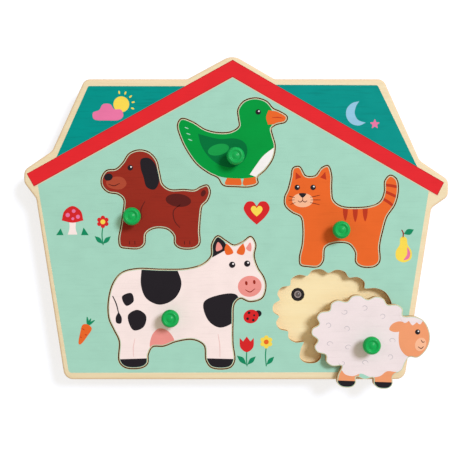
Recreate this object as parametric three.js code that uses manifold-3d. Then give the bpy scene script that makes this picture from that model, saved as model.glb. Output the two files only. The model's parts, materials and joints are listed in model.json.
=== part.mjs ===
// Sound puzzle: a house-shaped wooden board with five knobbed animal pieces. Each piece sits in its own
// recess over a light sensor, and the board holds a circuit board, a speaker, two cells and a switch.
// Millimetres. +X is to the right, +Y towards the roof's apex and +Z out of the printed face.
// The origin is on the flat back face, midway between the walls. The left eave ends a little higher.
import * as THREE from "three";
import { mergeVertices } from "three/addons/utils/BufferGeometryUtils.js";
import Module from "manifold-3d";

const wasm = await Module();
wasm.setup();

// Board, a stack of four glued and screwed layers
const boardWidth = 300;
const boardHeight = 228;
const backThickness = 3;
const coreThickness = 11.5;
const floorThickness = 2.5;
const faceThickness = 6;
const boardEdgeRound = 1.2;
const apexRadius = 11.6;
const valleyRadius = 5;
const roofCornerRadius = 6;
const eaveValleyRadius = 8;
const eaveTopRadius = 6;
const eaveEndRadius = 6;
const eaveNotchRadius = 5;
const baseCornerRadius = 7;

// Animal pieces and the recesses that they drop into
const pieceThickness = 6;
const pieceEdgeRound = 0.5;
const pieceClearance = 0.8;
const restGap = 0.3;
const sheepShiftX = 25.6;
const sheepShiftY = -17.4;
const sheepTurn = THREE.MathUtils.degToRad(-2);

// Knobs
const knobRadius = 6.25;
const knobHeight = 12.2;
const knobBoreDepth = 8;

// Screws
const screwHeadRadius = 3;
const screwHeadDepth = 1.8;
const screwShankRadius = 1.25;
const screwClearance = 0.3;
const screwSink = 0.3;
const backScrewLength = 10.5;
const knobScrewLength = 12.2;

// Light sensors
const sensorRingRadius = 4.55;
const sensorRingThickness = 1.2;
const sensorRingEase = 0.3;
const sensorSleeveRadius = 3.5;
const sensorSleeveDepth = 5.5;
const sensorBoreRadius = 2.95;
const sensorCellSink = 0.5;
const sensorCellHeight = 4.5;
const sensorWellRadius = 6.2;
const fitGap = 0.3;

// Circuit board and what stands on it
const circuitLength = 44;
const circuitWidth = 26;
const circuitThickness = 1.6;
const circuitCornerRadius = 1.5;
const circuitPlaceShare = [0, -0.0702];
const pocketGap = 0.8;
const chipRadius = 5;
const chipHeight = 1.6;
const capacitorRadius = 3.15;
const capacitorHeight = 7;

// Speaker, facing the back board
const speakerRadius = 14;
const speakerFlange = 1.8;
const speakerFlangeThickness = 1.2;
const speakerDepth = 5.8;
const speakerSheet = 0.8;
const coneSheet = 0.5;
const magnetRadius = 6.5;
const magnetThickness = 3;
const speakerPlaceShare = [0.48, 0.2368];
const grilleHoleRadius = 1.25;
const grillePitch = 4.6;
const grilleRings = 2;

// Battery box, its door and two AAA cells
const cellRadius = 5.25;
const cellLength = 44.5;
const cellNubRadius = 1.9;
const cellNubLength = 1;
const cellRim = 0.5;
const boxWall = 1.3;
const boxPlaceShare = [-0.4667, -0.5439];
const postLength = 7.9;
const boxFlange = 2;
const boxFlangeThickness = 1.2;
const contactSheet = 0.5;
const contactHeight = 8.6;
const contactWidth = 8;
const springLength = 4.8;
const springWireRadius = 0.35;
const springBaseRadius = 3.6;
const springTipRadius = 2.2;
const springTurns = 3;
const doorThickness = 1.6;
const doorRecess = 0.3;
const doorEndGap = 0.6;
const tongueThickness = 0.75;
const tongueLength = 1.5;
const tongueWidth = 12;
const tongueGap = 0.25;
const slotHeadroom = 1.5;
const doorScrewHeadRadius = 2;
const doorScrewHeadDepth = 1;
const doorScrewShankRadius = 0.9;
const doorScrewLength = 6.5;
const doorScrewClearance = 0.55;

// Slide switch, reached from the back
const switchLength = 14;
const switchWidth = 7;
const switchHeight = 6;
const switchWall = 1.2;
const switchPlaceShare = [0.04, -0.6842];
const switchTravel = 3;
const sliderBaseLength = 6;
const sliderBaseHeight = 2.2;
const sliderNubLength = 2.2;
const sliderNubWidth = 2.6;
const sliderNubSink = 0.7;
const fingerWellLength = 18;
const fingerWellWidth = 10;
const fingerWellDepth = 1.2;

// Leads, round two-core wires that run in grooves of the core board
const leadRadius = 0.9;
const leadStep = 5.4;
const leadBend = 3.4;
const grooveWidth = 6;
const grooveDepth = 6.5;

// Faceting
const arcStep = THREE.MathUtils.degToRad(15);
const outlineDivisions = 2;
const screwSides = 10;
const knobSides = 14;
const sensorSides = 12;
const speakerSides = 16;
const cellSides = 12;
const grilleSides = 8;
const cutOverrun = 1;

// Heights of the layers' upper faces
const backTop = backThickness;
const coreTop = backTop + coreThickness;
const floorTop = coreTop + floorThickness;
const faceTop = floorTop + faceThickness;

// The house outline, clockwise from the apex: shares of half the width and half the height
const houseCornerShares = [
  { x: -0.0073, y: 1.0151, radius: apexRadius },
  { x: 0.1907, y: 0.8632, radius: valleyRadius },
  { x: 0.704, y: 0.8632, radius: roofCornerRadius },
  { x: 0.876, y: 0.3579, radius: eaveValleyRadius },
  { x: 1.01, y: 0.2377, radius: eaveTopRadius },
  { x: 1.01, y: 0.1351, radius: eaveEndRadius },
  { x: 0.9307, y: 0.0632, radius: eaveNotchRadius },
  { x: 0.804, y: -1, radius: baseCornerRadius },
  { x: -0.798, y: -1, radius: baseCornerRadius },
  { x: -0.9333, y: 0.1219, radius: eaveNotchRadius },
  { x: -0.99, y: 0.2211, radius: eaveEndRadius },
  { x: -0.99, y: 0.2991, radius: eaveTopRadius },
  { x: -0.858, y: 0.4167, radius: eaveValleyRadius },
  { x: -0.704, y: 0.8632, radius: roofCornerRadius },
  { x: -0.2207, y: 0.8632, radius: valleyRadius },
];

// Animal outlines as shares of each piece's width and height, each in order round the piece
const duckOutlineShares = [
  [1, 0.79], [0.93, 0.85], [0.875, 0.88], [0.81, 0.965], [0.71, 1], [0.61, 0.965], [0.555, 0.87],
  [0.56, 0.77], [0.565, 0.68], [0.49, 0.615], [0.37, 0.605], [0.25, 0.64], [0.13, 0.73],
  [0.035, 0.765], [0, 0.7], [0.03, 0.55], [0.09, 0.4], [0.18, 0.25], [0.29, 0.15], [0.37, 0.1],
  [0.42, 0.015], [0.53, 0], [0.67, 0], [0.73, 0.035], [0.725, 0.1], [0.8, 0.19], [0.87, 0.32],
  [0.89, 0.46], [0.865, 0.58], [0.855, 0.66], [0.9, 0.705], [0.985, 0.735],
];
const dogOutlineShares = [
  [0, 0.715], [0.005, 0.635], [0.06, 0.575], [0.15, 0.555], [0.205, 0.5], [0.2, 0.37], [0.18, 0.22],
  [0.16, 0.09], [0.175, 0.015], [0.235, 0], [0.345, 0], [0.39, 0.04], [0.405, 0.15], [0.48, 0.205],
  [0.6, 0.2],
  [0.67, 0.13], [0.68, 0.04], [0.73, 0], [0.85, 0], [0.9, 0.04], [0.9, 0.18], [0.91, 0.33],
  [0.925, 0.43], [0.975, 0.49], [1, 0.575], [0.975, 0.64], [0.92, 0.625], [0.86, 0.59], [0.76, 0.595],
  [0.63, 0.595], [0.56, 0.65], [0.53, 0.77], [0.5, 0.9], [0.43, 0.98], [0.34, 1], [0.255, 0.965],
  [0.195, 0.87], [0.13, 0.805], [0.045, 0.79],
];
const catOutlineShares = [
  [0.01, 0.68], [0.015, 0.6], [0.075, 0.535], [0.15, 0.49], [0.17, 0.38], [0.165, 0.22],
  [0.14, 0.08], [0.15, 0.015], [0.21, 0], [0.3, 0], [0.34, 0.05], [0.36, 0.19], [0.45, 0.235],
  [0.57, 0.225], [0.63, 0.14], [0.635, 0.04], [0.68, 0], [0.79, 0], [0.835, 0.045], [0.835, 0.2],
  [0.865, 0.36], [0.9, 0.49], [0.97, 0.61], [1, 0.75], [0.985, 0.86], [0.935, 0.895], [0.89, 0.845],
  [0.885, 0.735], [0.85, 0.64], [0.78, 0.595], [0.64, 0.575], [0.5, 0.59], [0.43, 0.65], [0.415, 0.77],
  [0.415, 0.9], [0.385, 0.99], [0.335, 0.97], [0.275, 0.89], [0.19, 0.89], [0.135, 0.98],
  [0.085, 0.97], [0.065, 0.87], [0.04, 0.76],
];
const cowOutlineShares = [
  [1, 0.62], [0.975, 0.53], [0.9, 0.505], [0.84, 0.53], [0.8, 0.49], [0.79, 0.35], [0.79, 0.18],
  [0.8, 0.05], [0.77, 0], [0.66, 0], [0.625, 0.05], [0.61, 0.17], [0.54, 0.215], [0.43, 0.2],
  [0.35, 0.165], [0.28, 0.16], [0.25, 0.1], [0.245, 0.03], [0.21, 0], [0.11, 0], [0.07, 0.045],
  [0.07, 0.2], [0.035, 0.29], [0.005, 0.37], [0, 0.5], [0.03, 0.64], [0.085, 0.72], [0.18, 0.75],
  [0.34, 0.745], [0.5, 0.75], [0.6, 0.785], [0.655, 0.85], [0.66, 0.94], [0.695, 1], [0.745, 0.965],
  [0.8, 0.93], [0.86, 0.96], [0.905, 0.995], [0.935, 0.94], [0.925, 0.85], [0.95, 0.755], [0.985, 0.69],
];
const sheepHeadShares = [
  [0.83, 0.345], [0.9, 0.345], [0.965, 0.42], [1, 0.54], [0.985, 0.66], [0.935, 0.755], [0.865, 0.79],
];
const sheepLegShares = [
  [0.235, 0.13], [0.23, 0.04], [0.27, 0], [0.35, 0], [0.385, 0.04], [0.39, 0.115], [0.46, 0.09],
  [0.53, 0.11], [0.54, 0.04], [0.58, 0], [0.66, 0], [0.695, 0.04], [0.7, 0.14], [0.77, 0.2],
  [0.8, 0.29],
];
const sheepWoolShare = { centreX: 0.44, centreY: 0.57, radiusX: 0.44, radiusY: 0.43, valley: 0.9 };
const sheepWoolLobes = 8;
const sheepWoolStart = THREE.MathUtils.degToRad(35);
const sheepWoolEnd = THREE.MathUtils.degToRad(243);

// Sizes are shares of the board and places of half the board; knobs and sensors are shares of the piece
const animalShares = [
  {
    name: "duck", sizeShare: [0.256, 0.272], colour: 0x0a9a4a,
    placeShare: [-0.008, 0.47], knobShare: [0.529, 0.332], sensorShare: [0.36, 0.4],
    outline: splineOutline(duckOutlineShares),
  },
  {
    name: "dog", sizeShare: [0.254, 0.3018], colour: 0x962d1e,
    placeShare: [-0.368, 0.1175], knobShare: [0.291, 0.323], sensorShare: [0.62, 0.42],
    outline: splineOutline(dogOutlineShares),
  },
  {
    name: "cat", sizeShare: [0.2683, 0.3132], colour: 0xeb6928,
    placeShare: [0.503, 0.0158], knobShare: [0.49, 0.36], sensorShare: [0.34, 0.42],
    outline: splineOutline(catOutlineShares),
  },
  {
    name: "cow", sizeShare: [0.369, 0.4057], colour: 0xfcebdc,
    placeShare: [-0.221, -0.518], knobShare: [0.398, 0.382], sensorShare: [0.58, 0.42],
    outline: splineOutline(cowOutlineShares),
  },
  {
    name: "sheep", sizeShare: [0.2757, 0.2829], colour: 0xf2e6e4,
    placeShare: [0.4657, -0.605], knobShare: [0.49, 0.478], sensorShare: [0.206, 0.726],
    outline: splineOutline([...sheepLegShares, ...sheepHeadShares, ...woolShares()]),
  },
];

// Back screws: shares of half the width and half the height, each on both sides
const backScrewShares = [[0.6, 0.74], [0.86, 0.1], [0.727, -0.9]];

// Knob section from the bore's top out, down and up to the centre: shares of its radius and height
const knobProfileShares = [
  [0.7, 0], [0.7, 0.07], [0.5, 0.2], [0.5, 0.38], [0.9, 0.64], [1, 0.76], [1, 0.89], [0.89, 1],
  [0.76, 1], [0.6, 0.92], [0.3, 0.9], [0.19, 0.96], [0, 0.97],
];

// Section of the potted chip's drop of resin: shares of its radius and height
const chipProfileShares = [[0, 0], [1, 0], [0.85, 0.6], [0.5, 1], [0, 1]];

const whiteWood = 0xf0d9b4;
const plywood = 0xe2c490;
const fibreboard = 0xb98d5a;
const blackPlastic = 0x202022;
const steel = 0xb8babd;

function point(x, y) {
  return new THREE.Vector2(x, y);
}

// The wool's scalloped part: lobes round an ellipse, each a valley and two shoulders
function woolShares() {
  const { centreX, centreY, radiusX, radiusY, valley } = sheepWoolShare;
  const perLobe = [valley, 1, 1];
  const count = sheepWoolLobes * perLobe.length;
  return Array.from({ length: count + 1 }, (_, i) => {
    const angle = THREE.MathUtils.lerp(sheepWoolStart, sheepWoolEnd, i / count);
    const reach = perLobe[i % perLobe.length];
    return [centreX + radiusX * reach * Math.cos(angle), centreY + radiusY * reach * Math.sin(angle)];
  });
}

// A closed smooth curve through an outline's points, still in shares, anticlockwise
function splineOutline(shares) {
  const knots = shares.map(([x, y]) => new THREE.Vector3(x, y, 0));
  const curve = new THREE.CatmullRomCurve3(knots, true, "centripetal");
  const outline = curve.getPoints(shares.length * outlineDivisions).slice(1).map((p) => point(p.x, p.y));
  return THREE.ShapeUtils.isClockWise(outline) ? outline.reverse() : outline;
}

// Straight edges with each corner rounded; a radius shrinks only where its edges are too short for it
function roundedPolygon(corners) {
  const count = corners.length;
  const at = (i) => corners[(i + count) % count];
  const edges = corners.map((corner, i) => corner.place.distanceTo(at(i + 1).place));
  const bends = corners.map((corner, i) => {
    const back = at(i - 1).place.clone().sub(corner.place).normalize();
    const ahead = at(i + 1).place.clone().sub(corner.place).normalize();
    const half = Math.acos(back.dot(ahead)) / 2;
    return { back, ahead, half, reach: corner.radius / Math.tan(half) };
  });
  const room = edges.map((edge, i) => Math.min(1, edge / (bends[i].reach + bends[(i + 1) % count].reach)));
  return corners.flatMap((corner, i) => {
    const { back, ahead, half } = bends[i];
    const reach = bends[i].reach * Math.min(room[i], room[(i + count - 1) % count]);
    const radius = reach * Math.tan(half);
    const inward = back.clone().add(ahead).normalize();
    const centre = corner.place.clone().addScaledVector(inward, radius / Math.sin(half));
    const from = corner.place.clone().addScaledVector(back, reach).sub(centre);
    const to = corner.place.clone().addScaledVector(ahead, reach).sub(centre);
    const turn = Math.atan2(from.cross(to), from.dot(to));
    const steps = 2 * Math.max(1, Math.round(Math.abs(turn) / (2 * arcStep)));
    return Array.from({ length: steps + 1 }, (_, k) =>
      from.clone().rotateAround(point(0, 0), (turn * k) / steps).add(centre));
  });
}

function houseOutline() {
  const corners = houseCornerShares.map(({ x, y, radius }) => ({
    place: point((x * boardWidth) / 2, (y * boardHeight) / 2), radius,
  }));
  return roundedPolygon(corners.reverse());
}

function roundedRectangle(width, height, radius, x = 0, y = 0) {
  const signs = [[-1, -1], [1, -1], [1, 1], [-1, 1]];
  return roundedPolygon(
    signs.map(([sx, sy]) => ({ place: point(x + (sx * width) / 2, y + (sy * height) / 2), radius })),
  );
}

// Each point moved outward along the mean normal of its two edges; the outline runs anticlockwise
function offsetOutline(outline, distance) {
  const count = outline.length;
  return outline.map((here, i) => {
    const before = here.clone().sub(outline[(i + count - 1) % count]).normalize();
    const after = outline[(i + 1) % count].clone().sub(here).normalize();
    const along = before.clone().add(after).normalize();
    const stretch = Math.max(along.dot(after), 0.5);
    return here.clone().add(point(along.y, -along.x).multiplyScalar(distance / stretch));
  });
}

function pieceOutline(animal) {
  return animal.outline.map((p) => point((p.x - 0.5) * animal.width, (p.y - 0.5) * animal.height));
}

function solidOf(geometry) {
  const bare = geometry.clone();
  bare.deleteAttribute("normal");
  bare.deleteAttribute("uv");
  const merged = mergeVertices(bare);
  const vertProperties = new Float32Array(merged.attributes.position.array);
  const triVerts = new Uint32Array(merged.index.array);
  return new wasm.Manifold(new wasm.Mesh({ numProp: 3, vertProperties, triVerts }));
}

function geometryOf(solid) {
  const mesh = solid.getMesh();
  const geometry = new THREE.BufferGeometry();
  geometry.setAttribute("position", new THREE.BufferAttribute(new Float32Array(mesh.vertProperties), 3));
  geometry.setIndex(new THREE.BufferAttribute(new Uint32Array(mesh.triVerts), 1));
  const faceted = geometry.toNonIndexed();
  faceted.computeVertexNormals();
  return faceted;
}

const cut = (body, tools) => tools.reduce((left, tool) => left.subtract(solidOf(tool)), body);
const join = (bodies) => bodies.map(solidOf).reduce((whole, body) => whole.add(body));

// A flat plate of the outline from one height to another
function plate(outline, low, high) {
  const options = { depth: high - low, bevelEnabled: false };
  return new THREE.ExtrudeGeometry(new THREE.Shape(outline), options).translate(0, 0, low);
}

// A plate whose upper edge is rounded: both edges are, and the lower one is trimmed off
function easedPlate(outline, low, high, round, segments) {
  const options = {
    depth: high - low - round + cutOverrun,
    bevelThickness: round, bevelSize: round, bevelOffset: -round, bevelSegments: segments,
  };
  const blank = new THREE.ExtrudeGeometry(new THREE.Shape(outline), options);
  const bottom = low - round - cutOverrun;
  return solidOf(blank.translate(0, 0, low - cutOverrun)).subtract(
    solidOf(plate(offsetOutline(outline, round), bottom - cutOverrun, low)),
  );
}

// A profile of [radius, height] pairs turned round Z
function turned(profile, sides) {
  return new THREE.LatheGeometry(profile.map(([r, z]) => point(r, z)), sides).rotateX(Math.PI / 2);
}

const box = (x, y, z) => {
  const sizes = [x, y, z].map(([low, high]) => high - low);
  const middles = [x, y, z].map(([low, high]) => (low + high) / 2);
  return new THREE.BoxGeometry(...sizes).translate(...middles);
};
const centred = (size, middle = 0) => [middle - size / 2, middle + size / 2];

// A countersunk screw, head down, from its head's face at zero
function screwProfile(head, headDepth, shank, length) {
  return [[0, 0], [head, 0], [shank, headDepth], [shank, length - shank], [0, length]];
}

// The hole for such a screw, wider by the clearance and open below the head
function screwHoleProfile(head, headDepth, shank, length, clearance) {
  const wide = head + clearance;
  const narrow = shank + clearance;
  return [
    [0, -cutOverrun], [wide, -cutOverrun], [wide, 0], [narrow, headDepth],
    [narrow, length + clearance], [0, length + clearance],
  ];
}

function mesh(name, geometry, colour, roughness = 0.6, metalness = 0) {
  const material = new THREE.MeshStandardMaterial({ color: colour, roughness, metalness });
  const made = new THREE.Mesh(geometry, material);
  made.name = name;
  return made;
}

function group(x, y, z, ...members) {
  const made = new THREE.Group();
  made.position.set(x, y, z);
  return made.add(...members);
}

// Places that several pieces share
const house = houseOutline();
const placeOf = ([x, y]) => ({ x: (x * boardWidth) / 2, y: (y * boardHeight) / 2 });
const circuitPlace = placeOf(circuitPlaceShare);
const speakerPlace = placeOf(speakerPlaceShare);
const boxPlace = placeOf(boxPlaceShare);
const switchPlace = placeOf(switchPlaceShare);
const animals = animalShares.map((animal) => ({
  ...animal,
  width: animal.sizeShare[0] * boardWidth,
  height: animal.sizeShare[1] * boardHeight,
}));
const recessOf = (animal) => placeOf(animal.placeShare);
const sensorOf = (animal) => ({
  x: recessOf(animal).x + (animal.sensorShare[0] - 0.5) * animal.width,
  y: recessOf(animal).y + (animal.sensorShare[1] - 0.5) * animal.height,
});
const backScrewPlaces = [1, -1].flatMap((side) =>
  backScrewShares.map(([x, y]) => [(side * x * boardWidth) / 2, (y * boardHeight) / 2]));

const cellGap = fitGap;
const bayLength = cellLength + springLength + 4 * fitGap + 2 * contactSheet;
const bayWidth = 4 * cellRadius + cellGap + 4 * fitGap;
const boxLength = bayLength + postLength + 2 * boxWall;
const boxWidth = bayWidth + 2 * boxWall;
const boxTop = coreTop - fitGap;
const doorTop = doorRecess + doorThickness;
const seatTop = doorTop + fitGap;
const bayStart = boxWall - boxLength / 2;
const bayEnd = bayStart + bayLength;
const cellAxis = doorTop + fitGap + cellRadius;
const bayTop = cellAxis + cellRadius + fitGap;
const leadAxis = backTop + circuitThickness + fitGap + leadRadius;
const circuitTop = backTop + circuitThickness;

// Wood layers

function cutOut(animal) {
  const { x, y } = recessOf(animal);
  const outline = offsetOutline(pieceOutline(animal), pieceClearance);
  return plate(outline, floorTop - cutOverrun, faceTop + cutOverrun).translate(x, y, 0);
}

function faceBoard() {
  const blank = easedPlate(house, floorTop, faceTop, boardEdgeRound, 2);
  return mesh("face_board", geometryOf(cut(blank, animals.map(cutOut))), 0xa3d4be, 0.5);
}

function sensorHole(animal) {
  const { x, y } = sensorOf(animal);
  const wide = sensorRingRadius + fitGap;
  const narrow = sensorSleeveRadius + fitGap;
  const shoulder = floorTop - sensorRingThickness;
  const profile = [
    [0, coreTop - cutOverrun], [narrow, coreTop - cutOverrun], [narrow, shoulder], [wide, shoulder],
    [wide, floorTop + cutOverrun], [0, floorTop + cutOverrun],
  ];
  return turned(profile, sensorSides).translate(x, y, 0);
}

function floorBoard() {
  const blank = solidOf(plate(house, coreTop, floorTop));
  return mesh("floor_board", geometryOf(cut(blank, animals.map(sensorHole))), whiteWood, 0.7);
}

// A groove with round ends between two places, cut up into the core from its lower face
function groove([fromX, fromY], [toX, toY]) {
  const length = Math.hypot(toX - fromX, toY - fromY) + grooveWidth;
  const outline = roundedRectangle(length, grooveWidth, grooveWidth / 2);
  return plate(outline, backTop - cutOverrun, backTop + grooveDepth)
    .rotateZ(Math.atan2(toY - fromY, toX - fromX))
    .translate((fromX + toX) / 2, (fromY + toY) / 2, 0);
}

function pocket(outline) {
  return plate(outline, backTop - cutOverrun, coreTop + cutOverrun);
}

// Where each lead ends on the circuit board, as shares of its length and width from its middle
const leadEndShares = {
  duck: [-0.18, 0.385], dog: [-0.43, 0.27], cat: [0.43, 0], cow: [-0.25, -0.385],
  sheep: [0.385, -0.385], speaker: [0.41, 0.385], battery: [-0.43, -0.27], switch: [0.07, -0.385],
};
const leadEnd = (name) => [
  circuitPlace.x + leadEndShares[name][0] * circuitLength,
  circuitPlace.y + leadEndShares[name][1] * circuitWidth,
];
const switchLeadStart = [switchPlace.x, switchPlace.y + switchWidth / 2 + fitGap];
const batteryLeadStart = [boxPlace.x + boxLength / 2 + fitGap, boxPlace.y];
const speakerLeadWay = [
  leadEnd("speaker")[0] - speakerPlace.x, leadEnd("speaker")[1] - speakerPlace.y,
];
const speakerLeadReach = point(...speakerLeadWay).setLength(speakerRadius + fitGap);
const speakerLeadStart = [speakerPlace.x + speakerLeadReach.x, speakerPlace.y + speakerLeadReach.y];

function coreBoard() {
  const flangeGap = boxFlange + fitGap;
  const pockets = [
    roundedRectangle(
      circuitLength + 2 * pocketGap, circuitWidth + 2 * pocketGap, pocketGap,
      circuitPlace.x, circuitPlace.y,
    ),
    roundedRectangle(
      boxLength + 2 * flangeGap, boxWidth + 2 * flangeGap, fitGap, boxPlace.x, boxPlace.y,
    ),
    roundedRectangle(
      switchLength + 2 * fitGap, switchWidth + 2 * fitGap, fitGap, switchPlace.x, switchPlace.y,
    ),
  ].map(pocket);
  const round = (radius, sides, x, y) =>
    turned([[0, backTop - cutOverrun], [radius, backTop - cutOverrun],
      [radius, coreTop + cutOverrun], [0, coreTop + cutOverrun]], sides).translate(x, y, 0);
  const speakerPocket = round(speakerRadius + 2 * fitGap, speakerSides, speakerPlace.x, speakerPlace.y);
  const wells = animals.map((animal) => {
    const { x, y } = sensorOf(animal);
    return round(sensorWellRadius, sensorSides, x, y);
  });
  const grooves = [
    ...animals.map((animal) => groove([sensorOf(animal).x, sensorOf(animal).y], leadEnd(animal.name))),
    groove(speakerLeadStart, leadEnd("speaker")),
    groove([batteryLeadStart[0] + leadBend, boxPlace.y], leadEnd("battery")),
    groove(switchLeadStart, leadEnd("switch")),
  ];
  const blank = solidOf(plate(house, backTop, coreTop));
  const tools = [...pockets, speakerPocket, ...wells, ...grooves, ...backScrewPlaces.map(backScrewHole)];
  return mesh("core_board", geometryOf(cut(blank, tools)), fibreboard, 0.8);
}

function backScrewHole([x, y]) {
  const profile = screwHoleProfile(
    screwHeadRadius, screwHeadDepth, screwShankRadius, backScrewLength, screwClearance,
  );
  return turned(profile, screwSides).translate(x, y, screwSink);
}

// Sound holes in rings on a hexagonal grid, behind the speaker
function grilleHoles() {
  const places = [[0, 0]];
  for (let ring = 1; ring <= grilleRings; ring += 1) {
    const count = 6 * ring;
    for (let k = 0; k < count; k += 1) {
      const angle = (2 * Math.PI * k) / count;
      places.push([ring * grillePitch * Math.cos(angle), ring * grillePitch * Math.sin(angle)]);
    }
  }
  const profile = [
    [0, -cutOverrun], [grilleHoleRadius, -cutOverrun], [grilleHoleRadius, backTop + cutOverrun],
    [0, backTop + cutOverrun],
  ];
  return places.map(([x, y]) =>
    turned(profile, grilleSides).translate(speakerPlace.x + x, speakerPlace.y + y, 0));
}

function backBoard() {
  const low = -cutOverrun;
  const high = backTop + cutOverrun;
  const boxHole = roundedRectangle(
    boxLength + 2 * fitGap, boxWidth + 2 * fitGap, fitGap, boxPlace.x, boxPlace.y,
  );
  const fingerWell = roundedRectangle(
    fingerWellLength, fingerWellWidth, fingerWellWidth / 2, switchPlace.x, switchPlace.y,
  );
  const slotLength = sliderNubLength + switchTravel + 2 * fitGap;
  const slotWidth = sliderNubWidth + 2 * fitGap;
  const slot = roundedRectangle(slotLength, slotWidth, fitGap, switchPlace.x, switchPlace.y);
  const tools = [
    plate(boxHole, low, high), plate(fingerWell, low, fingerWellDepth), plate(slot, low, high),
    ...grilleHoles(), ...backScrewPlaces.map(backScrewHole),
  ];
  const mirrored = house.map(({ x, y }) => point(-x, y)).reverse();
  const blank = easedPlate(mirrored, 0, backTop, boardEdgeRound, 1);
  const turnedOver = geometryOf(blank).rotateY(Math.PI).translate(0, 0, backTop);
  return mesh("back_board", geometryOf(cut(solidOf(turnedOver), tools)), plywood, 0.7);
}

function backScrews() {
  const profile = screwProfile(screwHeadRadius, screwHeadDepth, screwShankRadius, backScrewLength);
  return backScrewPlaces.map(([x, y], i) =>
    mesh(`back_screw_${i + 1}`, turned(profile, screwSides).translate(x, y, screwSink), steel, 0.35, 1));
}

// Animal pieces

function knobGeometry() {
  const bore = screwShankRadius + screwClearance;
  const outside = knobProfileShares.map(([r, z]) => [r * knobRadius, z * knobHeight]);
  return turned([[0, knobBoreDepth], [bore, knobBoreDepth], [bore, 0], ...outside], knobSides);
}

function pieceGroup(animal) {
  const knobX = (animal.knobShare[0] - 0.5) * animal.width;
  const knobY = (animal.knobShare[1] - 0.5) * animal.height;
  const holeSizes = [screwHeadRadius, screwHeadDepth, screwShankRadius, knobScrewLength];
  const hole = turned(screwHoleProfile(...holeSizes, screwClearance), screwSides);
  const slice = easedPlate(pieceOutline(animal), 0, pieceThickness, pieceEdgeRound, 1);
  const wood = geometryOf(cut(slice, [hole.translate(knobX, knobY, screwSink)]));
  const screw = turned(screwProfile(...holeSizes), screwSides).translate(knobX, knobY, screwSink);
  const laidOut = animal.name === "sheep";
  const { x, y } = recessOf(animal);
  const made = group(
    x + (laidOut ? sheepShiftX : 0), y + (laidOut ? sheepShiftY : 0), laidOut ? faceTop + restGap : floorTop,
    mesh(`${animal.name}_piece`, wood, animal.colour, 0.5),
    mesh(`${animal.name}_knob`, knobGeometry().translate(knobX, knobY, pieceThickness), 0x28b45a, 0.25),
    mesh(`${animal.name}_knob_screw`, screw, steel, 0.35, 1),
  );
  made.rotation.z = laidOut ? sheepTurn : 0;
  return made;
}

// Light sensors

function sensorGroup(animal) {
  const ring = sensorRingRadius;
  const bore = sensorBoreRadius;
  const ringProfile = [
    [bore, -sensorSleeveDepth], [sensorSleeveRadius, -sensorSleeveDepth],
    [sensorSleeveRadius, -sensorRingThickness], [ring, -sensorRingThickness],
    [ring, -sensorRingEase], [ring - sensorRingEase, 0], [bore + sensorRingEase, 0],
    [bore, -sensorRingEase], [bore, -sensorSleeveDepth],
  ];
  const cell = bore - fitGap;
  const cellProfile = [
    [0, -sensorCellSink - sensorCellHeight], [cell, -sensorCellSink - sensorCellHeight],
    [cell, -sensorCellSink], [0, -sensorCellSink],
  ];
  const { x, y } = sensorOf(animal);
  return group(
    x, y, floorTop,
    mesh(`${animal.name}_sensor_ring`, turned(ringProfile, sensorSides), blackPlastic, 0.4),
    mesh(`${animal.name}_sensor_cell`, turned(cellProfile, sensorSides), 0x8a8c8e, 0.3),
  );
}

// Leads

function leadMesh(name, knots) {
  const curve = new THREE.CatmullRomCurve3(knots, false, "centripetal");
  const sides = 8;
  const section = Array.from({ length: sides }, (_, i) => {
    const angle = (2 * Math.PI * i) / sides;
    return point(leadRadius * Math.cos(angle), leadRadius * Math.sin(angle));
  });
  const steps = Math.ceil(curve.getLength() / leadStep);
  const options = { steps, extrudePath: curve, bevelEnabled: false };
  return mesh(name, new THREE.ExtrudeGeometry(new THREE.Shape(section), options), 0xc8302c, 0.5);
}

// From below a sensor's cell, down and over into the groove, then along it
function sensorLead(animal) {
  const { x, y } = sensorOf(animal);
  const [endX, endY] = leadEnd(animal.name);
  const top = floorTop - sensorCellSink - sensorCellHeight - fitGap;
  const run = point(endX - x, endY - y).setLength(leadBend);
  return leadMesh(`${animal.name}_sensor_lead`, [
    new THREE.Vector3(x, y, top),
    new THREE.Vector3(x, y, (top + leadAxis) / 2),
    new THREE.Vector3(x + run.x, y + run.y, leadAxis),
    new THREE.Vector3((x + endX) / 2, (y + endY) / 2, leadAxis),
    new THREE.Vector3(endX, endY, leadAxis),
  ]);
}

// A lead at one height, which leaves what it starts at squarely
function levelLead(name, [startX, startY], [awayX, awayY], [endX, endY]) {
  const square = point(awayX, awayY).setLength(leadBend);
  return leadMesh(name, [
    new THREE.Vector3(startX, startY, leadAxis),
    new THREE.Vector3(startX + square.x, startY + square.y, leadAxis),
    new THREE.Vector3(endX, endY, leadAxis),
  ]);
}

// Circuit board

function circuitGroup() {
  const sheet = roundedRectangle(circuitLength, circuitWidth, circuitCornerRadius);
  const dome = chipProfileShares.map(([r, z]) => [r * chipRadius, z * chipHeight]);
  const can = [[0, 0], [capacitorRadius, 0], [capacitorRadius, capacitorHeight - fitGap],
    [capacitorRadius - fitGap, capacitorHeight], [0, capacitorHeight]];
  return group(
    circuitPlace.x, circuitPlace.y, 0,
    mesh("circuit_board", plate(sheet, backTop, circuitTop), 0x1d6b3a, 0.5),
    mesh("sound_chip", turned(dome, sensorSides).translate(0, 0, circuitTop), blackPlastic, 0.4),
    mesh("capacitor",
      turned(can, sensorSides).translate(circuitLength / 4, 0, circuitTop), 0x2a3550, 0.4),
  );
}

// Speaker, its front down on the sound holes

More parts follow.
